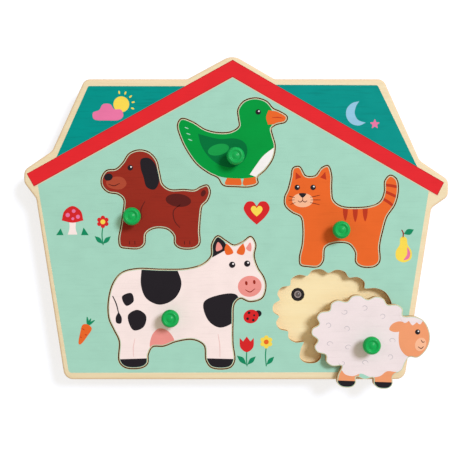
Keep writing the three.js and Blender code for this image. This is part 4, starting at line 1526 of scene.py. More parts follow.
class Cow(Animal):
    """The cow, which stands to the right."""

    def artwork(self) -> list[Layer]:
        """The printed cow."""
        body = smooth_loop([
            (109.3, 57.6), (106.8, 50.1), (99.7, 48.1), (93, 50.4), (87.2, 46.1), (86.1, 32.4),
            (86.1, 17), (87.1, 5.2), (84.6, 1.4), (73.6, 1.4), (70.5, 5.2), (68.8, 16.5),
            (60.2, 21.3), (47.5, 19.9), (38.5, 16.7), (30.4, 16.1), (26.4, 10), (25.7, 3.6),
            (22.7, 1.4), (12.6, 1.4), (9.1, 4.8), (9.1, 18.8), (5.2, 27.5), (2, 34.5), (1.4, 46.1),
            (4.6, 58.6), (10.2, 65.4), (20.1, 68), (37.6, 67.5), (55.6, 68), (67, 71.5),
            (73.8, 77.8), (74.6, 84), (79, 86.4), (84, 86.4), (89, 84.8), (95, 85.8), (101, 84),
            (101.2, 78.6), (103.9, 69.6), (107.6, 63.2),
        ])
        ears = [
            smooth_loop([(74.2, 79.4), (74.3, 86.4), (76.9, 91), (80.6, 88.2), (83, 84.2)], (0, 4)),
            smooth_loop([
                (94.4, 84.2), (96.8, 87.8), (100, 90.7), (102.1, 86.6), (101.2, 79.6),
            ], (0, 4)),
        ]
        ear_folds = [
            smooth_loop([(76, 82), (76, 86.2), (77.2, 88.4), (79.2, 86.6), (80.2, 83.8)]),
            smooth_loop([(97, 83.8), (98.2, 86.2), (99.8, 88.2), (100.8, 86), (100.2, 81.8)]),
        ]
        horns = [
            smooth_loop([
                (83, 79.6), (81.8, 83.2), (83.2, 87.6), (86, 84.8), (88, 81), (86, 79.6),
            ], (2,)),
            smooth_loop([
                (90.4, 81), (92.2, 84.8), (95, 87.6), (96.4, 83.2), (95.2, 79.6), (92.4, 79.6),
            ], (2,)),
        ]
        patches = [
            smooth_loop([
                (23.4, 71.6), (35, 71.6), (47.4, 71.6), (51.4, 58.6), (46.4, 48.4), (36, 44.2),
                (26.6, 48.6), (22.8, 58),
            ], (0, 2)),
            smooth_loop([(13.6, 36.6), (20.2, 40.6), (26.4, 36.4), (24.6, 28.4), (17.4, 26.2)]),
            smooth_loop([(67, 45.6), (76, 50.6), (90.6, 51), (91, 35), (79, 28), (70.4, 33)]),
            smooth_loop([(9.4, 50), (16, 52.4), (17.6, 46.6), (12.4, 43.4)]),
        ]
        hooves = [
            rounded_loop([(x0, y0, 0.4), (x0, -2, 1.2), (x1, -2, 1.2), (x1, y1, 0.4)])
            for x0, y0, x1, y1 in ((5, 5.6, 29, 6.4), (67, 6.4, 91, 5.8))
        ]
        udder = smooth_loop([
            (29.6, 13), (38.4, 13.6), (46.4, 17.6), (42, 25.6), (35.4, 27.4), (30.6, 22.6),
        ])
        soft_lines = [
            ribbon([(17.6, 7.4), (17.4, 14), (18.6, 20.4)], 0.7),
            ribbon([(78.6, 7.2), (78.4, 16), (77.2, 23.4)], 0.7),
        ]
        tail = ribbon([(2.8, 50.4), (5.4, 44.6), (7, 38.2)], 0.8, 0.8)
        tuft = smooth_loop([(7, 39.2), (9.2, 35), (8.6, 31), (5.6, 31.4), (5, 35.2)], (0,))
        return [
            Layer("body", Ink.CREAM, 1, [body]),
            Layer("line", Ink.SOFT_PINK, 2, soft_lines),
            Layer("near_ear", Ink.BLACK, 2, ears[:1]),
            Layer("far_ear", Ink.CREAM, 2, ears[1:]),
            Layer("ear_fold", Ink.PINK, 3, ear_folds),
            Layer("horn", Ink.ORANGE, 4, horns),
            Layer("patch", Ink.BLACK, 2, patches),
            Layer("hoof", Ink.BLACK, 2, hooves),
            Layer("udder", Ink.PINK, 2, [udder]),
            Layer("tail", Ink.BLACK, 3, [tail]),
            Layer("tuft", Ink.BLACK, 4, [tuft]),
            Layer("muzzle", Ink.PINK, 2, [oval(99.6, 57.2, 8.4, 7.4, 8)]),
            Layer("nostril", Ink.BROWN, 3, [
                oval(x, y, 0.9, 1.5, 8) for x, y in ((97.2, 59.4), (102.8, 60.2))
            ]),
            Layer("smile", Ink.BROWN, 3, [
                ribbon([(96.4, 54.8), (99.8, 53.2), (103.4, 55.6)], 0.7),
            ]),
            *eye(87.2, 72.4, 2.2),
            *eye(97.8, 73.2, 2.2, side="far_"),
        ]


class Sheep(Animal):
    """The sheep, which lies beside its recess at rest."""

    def wool(self) -> Loop:
        """Draws the fleece, whose lobes follow those of the piece's outline."""
        reaches = (0.92, 1, 1)
        knots = []
        for start, end, lobes in ((35, 243, 8), (243, 395, 6)):
            for i in range(lobes * 3):
                angle = math.radians(start + (end - start) * i / (lobes * 3))
                across, reach = 38 if math.cos(angle) < 0 else 46, reaches[i % 3]
                x = 36.4 + across * reach * math.cos(angle)
                knots.append((x, 36.8 + 29.4 * reach * math.sin(angle)))
        return smooth_loop(knots)

    def curl(self, x: float, y: float) -> Loop:
        """Draws a curl of wool that winds inward.

        Args:
            x: Its middle's place to the right.
            y: Its middle's place up.

        Returns:
            The stroke's closed outline.
        """
        knots = []
        for k in range(8):
            turn, across, up = 0.7 * k + x, 2.5 - 0.22 * k, 2.1 - 0.19 * k
            knots.append((x + across * math.cos(turn), y + up * math.sin(turn)))
        return ribbon(knots, 0.5)

    def artwork(self) -> list[Layer]:
        """The printed sheep."""
        legs = [
            rounded_loop([(x0, -2, 0.3), (x1, -2, 0.3), (x1, top, 0.3), (x0, top, 0.3)])
            for x0, x1, top in ((17, 34, 14), (42.6, 60, 15))
        ]
        hooves = [
            rounded_loop([(x0, -2, 1), (x1, -2, 1), (x1, 4.4, 0.3), (x0, 4.4, 0.3)])
            for x0, x1 in ((17, 34), (42.6, 60))
        ]
        head = smooth_loop([
            (66.4, 24.8), (70.2, 23.4), (74.2, 23.7), (78.8, 28.1), (81.3, 35), (80.3, 42),
            (76.5, 47.4), (71.5, 49.6), (66.4, 48.2), (62.8, 43), (61.8, 36), (63, 29),
        ])
        ear = smooth_loop([
            (65.8, 45.4), (61, 47.2), (55.8, 45), (54, 41.2), (57.8, 39.6), (63.4, 41.2),
        ])
        tuft = smooth_loop([
            (61, 54), (61.8, 48.4), (64.8, 46.2), (67.4, 47.8), (70, 44.8), (72.9, 47),
            (75.2, 45.6), (77.4, 48.4), (77, 54),
        ], (3, 5, 7))
        curls = [
            self.curl(*place)
            for place in (
                (11, 43), (22.4, 52.6), (36, 56), (48.6, 50.6), (24, 41), (12.6, 29.6),
                (25.6, 27.6), (22, 16.8), (37.6, 17.4), (55, 22.4), (56, 33.6),
            )
        ]
        return [
            Layer("leg", Ink.PEACH, 1, legs),
            Layer("hoof", Ink.BLACK, 2, hooves),
            Layer("wool", Ink.WOOL, 2, [self.wool()]),
            Layer("curl", Ink.CURL, 3, curls),
            Layer("head", Ink.PEACH, 3, [head]),
            Layer("muzzle", Ink.PALE_PEACH, 4, [oval(76.2, 31.6, 3.8, 4.8, -20)]),
            Layer("nose", Ink.DARK_BROWN, 5, [
                ribbon([(76.4, 34.8), (77.6, 33.2), (79, 33.6)], 0.6),
            ]),
            Layer("smile", Ink.DARK_BROWN, 5, [
                ribbon([(74.4, 30), (76.6, 28.8), (78.4, 30.2)], 0.6),
            ]),
            Layer("ear", Ink.PEACH, 4, [ear]),
            Layer("tuft", Ink.WOOL, 5, [tuft]),
            *eye(73.8, 40.2, 1.8, 5),
        ]


DUCK = Duck(
    "duck", 76.8, 62.016, (-1.2, 53.58), (0.529, 0.332), (0.36, 0.4),
    [
        (1, 0.79), (0.93, 0.85), (0.875, 0.88), (0.81, 0.965), (0.71, 1), (0.61, 0.965),
        (0.555, 0.87), (0.56, 0.77), (0.565, 0.68), (0.49, 0.615), (0.37, 0.605), (0.25, 0.64),
        (0.13, 0.73), (0.035, 0.765), (0, 0.7), (0.03, 0.55), (0.09, 0.4), (0.18, 0.25),
        (0.29, 0.15), (0.37, 0.1), (0.42, 0.015), (0.53, 0), (0.67, 0), (0.73, 0.035), (0.725, 0.1),
        (0.8, 0.19), (0.87, 0.32), (0.89, 0.46), (0.865, 0.58), (0.855, 0.66), (0.9, 0.705),
        (0.985, 0.735),
    ],
)
DOG = Dog(
    "dog", 76.2, 68.8104, (-55.2, 13.395), (0.291, 0.323), (0.62, 0.42),
    [
        (0, 0.715), (0.005, 0.635), (0.06, 0.575), (0.15, 0.555), (0.205, 0.5), (0.2, 0.37),
        (0.18, 0.22), (0.16, 0.09), (0.175, 0.015), (0.235, 0), (0.345, 0), (0.39, 0.04),
        (0.405, 0.15), (0.48, 0.205), (0.6, 0.2), (0.67, 0.13), (0.68, 0.04), (0.73, 0), (0.85, 0),
        (0.9, 0.04), (0.9, 0.18), (0.91, 0.33), (0.925, 0.43), (0.975, 0.49), (1, 0.575),
        (0.975, 0.64), (0.92, 0.625), (0.86, 0.59), (0.76, 0.595), (0.63, 0.595), (0.56, 0.65),
        (0.53, 0.77), (0.5, 0.9), (0.43, 0.98), (0.34, 1), (0.255, 0.965), (0.195, 0.87),
        (0.13, 0.805), (0.045, 0.79),
    ],
)
CAT = Cat(
    "cat", 80.49, 71.4096, (75.45, 1.8012), (0.49, 0.36), (0.34, 0.42),
    [
        (0.01, 0.68), (0.015, 0.6), (0.075, 0.535), (0.15, 0.49), (0.17, 0.38), (0.165, 0.22),
        (0.14, 0.08), (0.15, 0.015), (0.21, 0), (0.3, 0), (0.34, 0.05), (0.36, 0.19), (0.45, 0.235),
        (0.57, 0.225), (0.63, 0.14), (0.635, 0.04), (0.68, 0), (0.79, 0), (0.835, 0.045),
        (0.835, 0.2), (0.865, 0.36), (0.9, 0.49), (0.97, 0.61), (1, 0.75), (0.985, 0.86),
        (0.935, 0.895), (0.89, 0.845), (0.885, 0.735), (0.85, 0.64), (0.78, 0.595), (0.64, 0.575),
        (0.5, 0.59), (0.43, 0.65), (0.415, 0.77), (0.415, 0.9), (0.385, 0.99), (0.335, 0.97),
        (0.275, 0.89), (0.19, 0.89), (0.135, 0.98), (0.085, 0.97), (0.065, 0.87), (0.04, 0.76),
    ],
)
COW = Cow(
    "cow", 110.7, 92.4996, (-33.15, -59.052), (0.398, 0.382), (0.58, 0.42),
    [
        (1, 0.62), (0.975, 0.53), (0.9, 0.505), (0.84, 0.53), (0.8, 0.49), (0.79, 0.35),
        (0.79, 0.18), (0.8, 0.05), (0.77, 0), (0.66, 0), (0.625, 0.05), (0.61, 0.17), (0.54, 0.215),
        (0.43, 0.2), (0.35, 0.165), (0.28, 0.16), (0.25, 0.1), (0.245, 0.03), (0.21, 0), (0.11, 0),
        (0.07, 0.045), (0.07, 0.2), (0.035, 0.29), (0.005, 0.37), (0, 0.5), (0.03, 0.64),
        (0.085, 0.72), (0.18, 0.75), (0.34, 0.745), (0.5, 0.75), (0.6, 0.785), (0.655, 0.85),
        (0.66, 0.94), (0.695, 1), (0.745, 0.965), (0.8, 0.93), (0.86, 0.96), (0.905, 0.995),
        (0.935, 0.94), (0.925, 0.85), (0.95, 0.755), (0.985, 0.69),
    ],
)
SHEEP = Sheep(
    "sheep", 82.71, 64.5012, (69.855, -68.97), (0.49, 0.478), (0.206, 0.726),
    [
        (0.235, 0.13), (0.23, 0.04), (0.27, 0), (0.35, 0), (0.385, 0.04), (0.39, 0.115),
        (0.46, 0.09), (0.53, 0.11), (0.54, 0.04), (0.58, 0), (0.66, 0), (0.695, 0.04), (0.7, 0.14),
        (0.77, 0.2), (0.8, 0.29), (0.83, 0.345), (0.9, 0.345), (0.965, 0.42), (1, 0.54),
        (0.985, 0.66), (0.935, 0.755),
        (0.865, 0.79), *wool_shares(),
    ],
    shift=(25.6, -17.4), turn=-2, base=23.3,
)
ANIMALS = [DUCK, DOG, CAT, COW, SHEEP]


@dataclass
class Board:
    """The house-shaped board's printed face.

    Args:
        width: Its width at the eaves.
        height: Its height.
        edge_round: How far its upper edge is rounded.
        edge_segments: The faces across that rounding.
        corner_shares: Each corner as shares of half the width and height, and its radius.
    """

    width: float = 300.0
    height: float = 228.0
    edge_round: float = 1.7
    edge_segments: int = 5
    corner_shares: Sequence[tuple[float, float, float]] = (
        (-0.0073, 1.0151, 11.6), (0.1907, 0.8632, 5), (0.704, 0.8632, 6), (0.876, 0.3579, 8),
        (1.01, 0.2377, 6), (1.01, 0.1351, 6), (0.9307, 0.0632, 5), (0.804, -1, 7), (-0.798, -1, 7),
        (-0.9333, 0.1219, 5), (-0.99, 0.2211, 6), (-0.99, 0.2991, 6), (-0.858, 0.4167, 8),
        (-0.704, 0.8632, 6), (-0.2207, 0.8632, 5),
    )

    def outline(self) -> Loop:
        """The house's outline, anticlockwise."""
        corners = [(x * self.width / 2, y * self.height / 2, r) for x, y, r in self.corner_shares]
        return rounded_loop(corners[::-1])

    def build_face(self) -> None:
        """Makes the face with its rounded edge and the five recesses."""
        face = slab("face_panel", self.outline(), FLOOR_TOP, FACE_TOP)
        round_rim(face, FACE_TOP, self.edge_round, self.edge_segments)
        low, high = FLOOR_TOP - CUT_MARGIN, FACE_TOP + CUT_MARGIN
        for animal in ANIMALS:
            combine(face, slab("recess_tool", animal.recess(), low, high))
        smooth_faces(face)
        Seat("board").settle(face, BIRCH, "mint_print", "face_board")

    def ground(self) -> list[Layer]:
        """The printed house: its wall, the two sides of the roof and the red band."""
        wall = rounded_loop([
            (-139, 26, 0.6), (-116.6, -109.2, 2.4), (117.1, -108.7, 2.4), (137.9, 22, 0.6),
            (-1, 101, 0.6),
        ])
        roof = [
            rounded_loop([
                (120, 38.4, 0.4), (129.9, 35.2, 0.4), (101.4, 93.9, 1.6), (28, 94.2, 0.4),
            ]),
            rounded_loop([
                (-31, 93.2, 0.4), (-102.9, 93.3, 1.6), (-126.2, 41.4, 0.4), (-116, 44.4, 0.4),
            ]),
        ]
        tips = [
            (-1, 111.8), (-146.4, 31.4), (-141.3, 22.4), (-1, 99.6), (143.6, 16.1), (148.3, 25.3),
        ]
        drops = (0, 0, 0.6, 0.6, 0.6, 0.6)
        line = rounded_loop([(x, y - drop, 0.3) for (x, y), drop in zip(tips, drops)])
        band = rounded_loop([(x, y, 0.3) for x, y in tips])
        holes = [animal.recess(PRINT_GAP) for animal in ANIMALS]
        return [
            Layer("wall", Ink.MINT, 0, [wall, *holes]),
            Layer("roof", Ink.TEAL, 0, roof),
            Layer("band_line", Ink.SAND, 1, [line]),
            Layer("band_edge", Ink.DEEP_RED, 2, [band]),
            Layer("band", Ink.ROOF_RED, 3, [offset_loop(band, -0.5)]),
        ]

    def motifs(self) -> list[Layer]:
        """Small plain pictures in the free parts of the wall and the roof."""
        cloud = smooth_loop([
            (-99, 70), (-99.6, 74.4), (-95.2, 76.4), (-92.6, 80.4), (-87.4, 80.4), (-84.6, 77),
            (-79.8, 76.6), (-78.2, 72.4), (-80.6, 69.6), (-90, 69),
        ])
        rays = [
            ribbon([around(-79.6, 80.4, r, math.radians(a)) for r in (7.4, 9.6)], 1.2)
            for a in (-20, 10, 40, 70, 100)
        ]
        moon = smooth_loop([
            (88.4, 82.6), (83.4, 81.2), (79.6, 77.2), (79.4, 71.4), (82.8, 66.8), (88.2, 65.4),
            (93, 67.4), (87.6, 69.4), (85.2, 74), (86.2, 79),
        ], (0, 6))
        star = rounded_loop([
            (*around(99.4, 66.4, 1.7 if k % 2 else 3.9, math.radians(90 + 36 * k)), 0.3)
            for k in range(10)
        ])
        heart = smooth_loop([
            (16, -4.6), (22.4, 1.4), (25.2, 7), (22.8, 11.4), (18.6, 11.6), (16, 8.4), (13.4, 11.6),
            (9.2, 11.4), (6.8, 7), (9.6, 1.4),
        ], (0, 5))
        small_heart = moved_loop([(x - 16, y - 4.8) for x, y in heart], 16, 5.4, 0, 0.45)
        cap = smooth_loop([
            (-121.6, -1.6), (-119.8, 5), (-114, 8.6), (-108.2, 5), (-106.4, -1.6), (-114, -3.2),
        ], (0, 4))
        stem = smooth_loop([
            (-116.4, -2), (-111.6, -2), (-111.8, -7.4), (-110.6, -11.6), (-117.4, -11.6),
            (-116.2, -7.4),
        ], (0, 1, 3, 4))
        grass = [
            smooth_loop([(-125.6, -12), (-122.4, -7.2), (-120.4, -12)], (0, 1, 2)),
            smooth_loop([(-108, -12), (-106.2, -6.6), (-102.6, -12)], (0, 1, 2)),
        ]
        carrot_place = (-106, -82, -24)
        carrot = moved_loop(smooth_loop([
            (-3.4, 6), (0, 7.4), (3.4, 6), (2.8, 0), (0.6, -7.6), (-0.6, -7.6), (-2.8, 0),
        ]), *carrot_place)
        carrot_lines = [
            moved_loop(ribbon(ends, 0.6), *carrot_place)
            for ends in (
                [(-2.8, 3.2), (-0.8, 3)], [(2.4, 0.4), (0.6, 0.2)], [(-1.9, -2.6), (-0.4, -2.8)],
            )
        ]
        carrot_leaves = [
            moved_loop(
                ribbon([(0.2 * k, 6.6), (1.3 * k, 9.4), (3 * k, 12.2)], 1.6, 0.3), *carrot_place
            )
            for k in (-1, 0, 1)
        ]
        wings = oval(12, -69.4, 5.4, 4.8, 20)
        bug_head = oval(17, -67.4, 2.5, 2.3, 20)
        spots = [
            oval(9.6, -71, 0.95), oval(13.6, -72, 0.95), oval(10.6, -66.8, 0.95),
            oval(14.2, -68.6, 0.7),
        ]
        tulip = smooth_loop([
            (4, -84.6), (6.4, -87), (9, -83.6), (11.6, -87), (14, -84.6), (13.4, -91.4), (9, -94.6),
            (4.6, -91.4),
        ], (0, 1, 2, 3, 4))
        daisy = lobed(22.8, -87.4, 4.6, 6, 0.32)
        stems = [
            ribbon([(9, -93.6), (8.8, -99), (9.2, -104.6)], 0.8, 0.9),
            ribbon([(22.8, -90.6), (22.2, -97), (22.8, -104.6)], 0.8, 0.9),
        ]
        leaves = [
            smooth_loop([(8.8, -103.6), (4.4, -101.4), (2, -97), (6.6, -98.6)], (0, 2)),
            smooth_loop([(9.4, -103.6), (13.4, -101.6), (15.4, -97.6), (11.4, -99.2)], (0, 2)),
            smooth_loop([(22.9, -103.6), (26.6, -101.8), (28.4, -97.8), (24.6, -99.4)], (0, 2)),
        ]
        pear = smooth_loop([
            (119.4, -12.8), (121.8, -14.2), (122.6, -18.6), (125.4, -23.6), (124.8, -28.8),
            (119.8, -31.2), (114.8, -28.8), (114.2, -23.6), (117, -18.6), (117.4, -14.2),
        ])
        blush = smooth_loop([
            (122.4, -20.6), (124.4, -24.6), (123.4, -28.4), (119.8, -29.6), (122.2, -25.6),
        ])
        pear_leaf = smooth_loop([(119.8, -11.2), (122.6, -7.8), (127, -8), (124.4, -11.6)], (0, 2))
        pear_stalk = ribbon([(119.3, -13.6), (119.5, -10.6), (118.4, -8.2)], 0.9, 0.7)
        small_daisy = lobed(-92.6, -2.6, 4.4, 6, 0.32)
        small_stem = ribbon([(-92.6, -5.6), (-93.2, -12), (-92.4, -19)], 0.8, 0.9)
        small_leaves = [
            smooth_loop([(-92.6, -18.2), (-96.4, -16.6), (-98.4, -12.6), (-94.4, -14.2)], (0, 2)),
            smooth_loop([(-92.5, -18.2), (-88.8, -16.6), (-87, -12.8), (-90.8, -14.2)], (0, 2)),
        ]
        return [
            Layer("sun", Ink.YELLOW, 1, [oval(-79.6, 80.4, 5.6), *rays]),
            Layer("cloud", Ink.ROSE, 2, [cloud]),
            Layer("moon", Ink.SKY, 1, [moon]),
            Layer("star", Ink.ROSE, 1, [star]),
            Layer("heart", Ink.RED, 1, [heart]),
            Layer("small_heart", Ink.YELLOW, 2, [small_heart]),
            Layer("stem", Ink.CREAM, 1, [stem]),
            Layer("cap", Ink.RED, 2, [cap]),
            Layer("cap_dot", Ink.ROSE, 3, [
                oval(-117.4, 2.2, 1.5), oval(-113.2, 5, 1.3), oval(-110.2, 1, 1.4),
                oval(-113.8, -0.4, 1),
            ]),
            Layer("grass", Ink.LEAF, 1, grass),
            Layer("carrot_leaf", Ink.LEAF, 1, [carrot_leaves[1]]),
            Layer("carrot_side_leaf", Ink.LEAF, 2, [carrot_leaves[0]]),
            Layer("carrot_far_leaf", Ink.LEAF, 3, [carrot_leaves[2]]),
            Layer("carrot", Ink.ORANGE, 4, [carrot]),
            Layer("carrot_line", Ink.RUST, 5, carrot_lines),
            Layer("bug_head", Ink.BLACK, 1, [bug_head]),
            Layer("bug_wing", Ink.RED, 2, [wings]),
            Layer("bug_spot", Ink.BLACK, 3, spots),
            Layer("flower_stem", Ink.LEAF, 1, stems),
            Layer("flower_leaf", Ink.LEAF, 2, leaves),
            Layer("tulip", Ink.RED, 2, [tulip]),
            Layer("daisy", Ink.YELLOW, 2, [daisy]),
            Layer("daisy_eye", Ink.ORANGE, 3, [oval(22.8, -87.4, 1.7)]),
            Layer("pear", Ink.YELLOW, 1, [pear]),
            Layer("pear_blush", Ink.ROSE, 2, [blush]),
            Layer("pear_stalk", Ink.BROWN, 2, [pear_stalk]),
            Layer("pear_leaf", Ink.LEAF, 3, [pear_leaf]),
            Layer("small_stem", Ink.LEAF, 1, [small_stem]),
            Layer("small_leaf", Ink.LEAF, 2, small_leaves),
            Layer("small_daisy", Ink.RED, 2, [small_daisy]),
            Layer("small_daisy_eye", Ink.YELLOW, 3, [oval(-92.6, -2.6, 1.7)]),
        ]

    def build(self) -> None:
        """Makes the face and prints it."""
        self.build_face()
        for layer in [*self.ground(), *self.motifs()]:
            layer.lay(Seat("board"), "board", FACE_TOP, "mint_print")


# Knobs, sensors and hardware


@dataclass
class Knob:
    """A mushroom-shaped knob about zero, open below for its screw.

    Args:
        radius: The cap's radius.
        height: Its height.
        bore: The radius of the screw's hole.
        bore_depth: That hole's depth.
        foot: The foot's radius as a share of the cap's.
        sides: The sides of the turned knob.
        shares: Its profile as shares of the radius and height, from the foot up.
    """

    radius: float = 6.25
    height: float = 12.2
    bore: float = 1.55
    bore_depth: float = 8.0
    foot: float = 0.7
    sides: int = 56
    shares: Sequence[Point] = (
        (0.7, 0.07), (0.5, 0.2), (0.5, 0.38), (0.86, 0.57), (1, 0.7), (0.985, 0.81), (0.9, 0.92),
        (0.78, 0.985), (0.68, 1), (0.58, 0.975), (0.47, 0.935), (0.36, 0.94), (0.25, 0.965),
        (0.13, 0.985), (0, 0.99),
    )

    def model(self) -> Piece:
        """Models the knob."""
        outside = [
            (min(max(r, 0), 1) * self.radius, min(z, 1) * self.height)
            for r, z in smooth_path(self.shares, 5)
        ]
        return turned("knob", [
            (0, self.bore_depth), (self.bore, self.bore_depth), (self.bore, 0),
            (self.foot * self.radius, 0), *outside,
        ], self.sides, SHARP_TURNED)


@dataclass
class Sensor:
    """A light sensor's ring and cell about zero, below the recess's floor.

    Args:
        ring: The ring's outer radius.
        bore: Its inner radius.
        sleeve: The radius of the sleeve below it.
        sleeve_depth: How deep the sleeve reaches.
        rim: The ring's thickness.
        ring_round: How far the ring's upper edges are rounded.
        cell: The cell's radius.
        lens: The lens's radius.
        dome: How high the lens stands above its edge.
        sides: The sides of the turned parts.
    """

    ring: float = 4.55
    bore: float = 2.95
    sleeve: float = 3.5
    sleeve_depth: float = 5.5
    rim: float = 1.2
    ring_round: float = 0.35
    cell: float = 2.65
    lens: float = 1.45
    dome: float = 0.44
    sides: int = 48

    def model_ring(self) -> Piece:
        """Models the ring."""
        edge, arc = self.ring_round, [ARC_FACE * k for k in range(7)]
        outer = [(self.ring - edge + edge * math.cos(a), -edge + edge * math.sin(a)) for a in arc]
        inner = [(self.bore + edge - edge * math.sin(a), -edge + edge * math.cos(a)) for a in arc]
        return turned("sensor_ring", [
            (self.bore, -self.sleeve_depth), (self.sleeve, -self.sleeve_depth),
            (self.sleeve, -self.rim), (self.ring, -self.rim), *outer, *inner,
        ], self.sides, SHARP_TURNED)

    def model_cell(self) -> Piece:
        """Models the cell, hollowed for its lens."""
        return turned("sensor_cell", [
            (0, -5), (self.cell, -5), (self.cell, -0.7), (self.cell - 0.2, -0.5), (1.7, -0.5),
            (1.5, -0.7), (1.5, -1.2), (0, -1.2),
        ], self.sides, SHARP_TURNED)

    def model_lens(self) -> Piece:
        """Models the small dark lens in the middle of the cell."""
        low, edge = -1.3, -1.0
        arc = [ARC_FACE * k for k in range(6)]
        curve = [(self.lens * math.cos(a), edge + self.dome * math.sin(a)) for a in arc]
        return turned("sensor_lens", [
            (0, low), (self.lens, low), *curve, (0, edge + self.dome),
        ], self.sides, SHARP_TURNED)


@dataclass
class Hardware:
    """The screws of the back, and the parts that keep the frame's own shapes.

    Args:
        back_screws: How many screws hold the back.
        screw_step: How far each is turned past the one before, in degrees.
        door_turn: How far the door's screw is turned.
        kept: The nodes that keep their shapes, with the finish and the record's slot of each.
    """

    back_screws: int = 6
    screw_step: float = 17.0
    door_turn: float = 30.0
    kept: Sequence[tuple[str, Finish, str]] = (
        ("floor_board", FLOOR_PLY, "floor_wood"), ("core_board", FIBRE, "core_wood"),
        ("back_board", BACK_PLY, "back_wood"), ("circuit_board", CIRCUIT_GREEN, "circuit_green"),
        ("sound_chip", CHIP_RESIN, "chip_resin"), ("capacitor", SLEEVE, "capacitor_sleeve"),
        ("speaker_basket", PRESSED_STEEL, "speaker_steel"),
        ("speaker_cone", CONE_PAPER, "speaker_paper"),
        ("speaker_magnet", FERRITE, "magnet_iron"), ("battery_box", BLACK_PLASTIC, "black_plastic"),
        ("contact_bridge", CONTACT_STEEL, "contact_steel"),
        ("contact_negative", CONTACT_STEEL, "contact_steel"),
        ("contact_positive", CONTACT_STEEL, "contact_steel"), ("cell_1", CELL_WRAP, "cell_wrap"),
        ("cell_2", CELL_WRAP, "cell_wrap"), ("battery_door", BLACK_PLASTIC, "black_plastic"),
        ("switch_case", PRESSED_STEEL, "screw_steel"),
        ("switch_slider", BLACK_PLASTIC, "black_plastic"),
        *((f"{name}_lead", LEAD_RUBBER, "lead_sheath") for name in (
            "duck_sensor", "dog_sensor", "cat_sensor", "cow_sensor", "sheep_sensor", "speaker",
            "battery", "switch",
        )),
    )

    def refine(self, node: str, finish: Finish) -> None:
        """Puts a merged, smoothly shaded copy of a node in its place.

        Args:
            node: The node of the frame.
            finish: What it is made of.
        """
        source = frame["nodes"][node]
        made = bpy.data.objects.new(f"{node}_finished", source.data.copy())
        bpy.context.scene.collection.objects.link(made)
        make_active(made)
        bpy.ops.mesh.customdata_custom_splitnormals_clear()
        with edit_mode():
            bpy.ops.mesh.remove_doubles(threshold=MERGE_MM * MM)
            bpy.ops.mesh.tris_convert_to_quads(
                face_threshold=math.radians(1), shape_threshold=math.radians(60)
            )
        smooth_faces(made)
        dress(made, finish, source["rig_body"], node)

    def build_screws(self) -> None:
        """Makes the back's screws and the door's screw where the frame has them."""
        back = BACK_SCREW.model("back_screw")
        for index in range(1, self.back_screws + 1):
            node = f"back_screw_{index}"
            made = copied(back, f"{node}_turned")
            self.set_screw(made, node, "board", self.screw_step * index)
        bpy.data.objects.remove(back)
        made = DOOR_SCREW.model("door_screw_turned")
        self.set_screw(made, "door_screw", "battery_door", self.door_turn)

    def set_screw(self, made: Piece, node: str, body: str, turn: float) -> None:
        """Sets a screw in the place of its node.

        Args:
            made: The screw about zero.
            node: The node that it replaces.
            body: The body that it moves with.
            turn: How far its cross is turned, in degrees.
        """
        low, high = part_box(node)
        middle = (low + high) / 2 / MM
        seat = Seat(body, middle.x, middle.y, low.z / MM, turn)
        seat.settle(made, SCREW_STEEL, "screw_steel", node)

    def build(self) -> None:
        """Makes the screws and finishes the inner parts."""
        self.build_screws()
        for node, finish, slot in self.kept:
            self.refine(node, finish)


# The stage


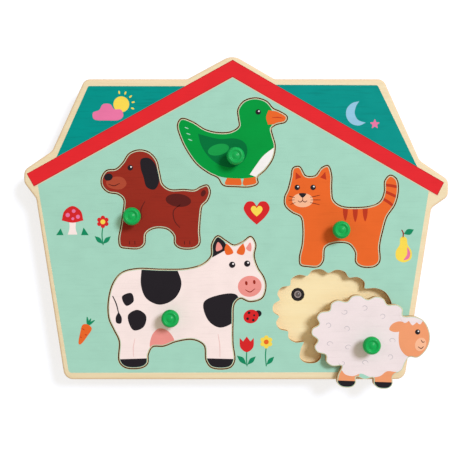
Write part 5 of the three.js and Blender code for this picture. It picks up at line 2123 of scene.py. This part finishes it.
@dataclass
class Studio:
    """A pale floor, soft light from the upper right and the camera straight above.

    Args:
        aim: The point below the camera, in millimetres.
        distance: The camera's height above the face, in millimetres.
        field_width: How much the picture's width takes in at the face, in millimetres.
        film_width: The width of the camera's film, in millimetres.
        key_way: The direction of the lamp.
        key_distance: Its distance from the board.
        key_size: Its diameter.
        key_power: Its power.
        key_colour: Its colour.
        sky: The strength of the light from all round.
        sky_colour: The colour of that light.
        floor_size: The floor's length and width.
        floor_drop: How far the floor lies below the back.
        floor_colour: The colour that takes the shadow.
        floor_share: How much of the floor's look is its glow.
        floor_glow: The strength of that glow.
    """

    aim: Point = (-3.9, -7.3)
    distance: float = 575.0
    field_width: float = 322.7
    film_width: float = 36.0
    key_way: tuple[float, float, float] = (0.49, 0.36, 0.8)
    key_distance: float = 5.0
    key_size: float = 1.46
    key_power: float = 186.0
    key_colour: tuple[float, float, float] = (0.81, 0.855, 1.0)
    sky: float = 0.52
    sky_colour: tuple[float, float, float] = (1.0, 0.89, 0.76)
    floor_size: float = 8.0
    floor_drop: float = 0.0001
    floor_colour: tuple[float, float, float] = (0.8, 0.87, 0.98)
    floor_share: float = 0.45
    floor_glow: float = 1.5

    def seen_directly(self, sheet: Sheet) -> Socket:
        """Gives 1 for rays from the camera, a reflection or glass, and 0 for light."""
        path = sheet.add("LightPath").outputs
        either = sheet.maths("MAXIMUM", path["Is Camera Ray"], path["Is Glossy Ray"])
        return sheet.maths("MAXIMUM", either, path["Is Transmission Ray"])

    def build_floor(self) -> None:
        """Lays the floor under the board."""
        deselect_all()
        bpy.ops.mesh.primitive_plane_add(size=self.floor_size, location=(0, 0, -self.floor_drop))
        floor = added("studio_floor")
        bpy.ops.object.transform_apply(location=True, rotation=True, scale=True)
        made = bpy.data.materials.new("pale_floor")
        sheet = blank_sheet(made)
        plain = sheet.add("BsdfDiffuse", {"Color": (*self.floor_colour, 1)})
        glow = sheet.add("Emission", {"Color": (1, 1, 1, 1), "Strength": self.floor_glow})
        share = sheet.times(self.seen_directly(sheet), self.floor_share)
        mixed = sheet.add("MixShader", {0: share, 1: plain.outputs[0], 2: glow.outputs[0]})
        sheet.add("OutputMaterial", {"Surface": mixed.outputs[0]})
        floor.data.materials.append(made)

    def build_light(self) -> None:
        """Sets the sky and the one large lamp."""
        world = bpy.data.worlds.new("studio_sky")
        sheet = blank_sheet(world)
        soft = sheet.add("Background", {"Color": (*self.sky_colour, 1), "Strength": self.sky})
        white = sheet.add("Background", {"Color": (1, 1, 1, 1), "Strength": 1.0})
        share = self.seen_directly(sheet)
        mixed = sheet.add("MixShader", {0: share, 1: soft.outputs[0], 2: white.outputs[0]})
        sheet.add("OutputWorld", {"Surface": mixed.outputs[0]})
        bpy.context.scene.world = world
        deselect_all()
        way = Vector(self.key_way).normalized()
        bpy.ops.object.light_add(type="AREA", location=way * self.key_distance)
        lamp = added("key_lamp")
        lamp.data.shape = "DISK"
        lamp.data.size = self.key_size
        lamp.data.energy = self.key_power
        lamp.data.color = self.key_colour
        lamp.rotation_mode = "QUATERNION"
        lamp.rotation_quaternion = way.to_track_quat("Z", "Y")

    def build_camera(self) -> None:
        """Hangs the camera over the board, with the roof's apex up."""
        deselect_all()
        place = (self.aim[0] * MM, self.aim[1] * MM, (FACE_TOP + self.distance) * MM)
        bpy.ops.object.camera_add(location=place, rotation=(0, 0, 0))
        camera = added("overhead_camera")
        camera.data.sensor_width = self.film_width
        camera.data.sensor_fit = "HORIZONTAL"
        camera.data.lens = self.film_width * self.distance / self.field_width
        camera.data.clip_start = 0.01
        camera.data.clip_end = 50.0
        bpy.context.scene.camera = camera

    def build(self) -> None:
        """Sets up the floor, the light and the camera."""
        self.build_camera()
        self.build_light()
        self.build_floor()
        bpy.context.scene.view_settings.view_transform = "Standard"


def main() -> None:
    """Builds the stage, the board, the animals and the hardware."""
    logging.basicConfig(level=logging.INFO, format="%(name)s: %(message)s")
    Studio().build()
    Board().build()
    knob = Knob().model()
    knob_screw = KNOB_SCREW.model("knob_screw")
    sensor = Sensor()
    ring, cell, lens = sensor.model_ring(), sensor.model_cell(), sensor.model_lens()
    for animal in ANIMALS:
        animal.build(knob, knob_screw)
        animal.build_sensor(ring, cell, lens)
    for pattern in (knob, knob_screw, ring, cell, lens):
        bpy.data.objects.remove(pattern)
    Hardware().build()


if __name__ == "__main__":
    main()
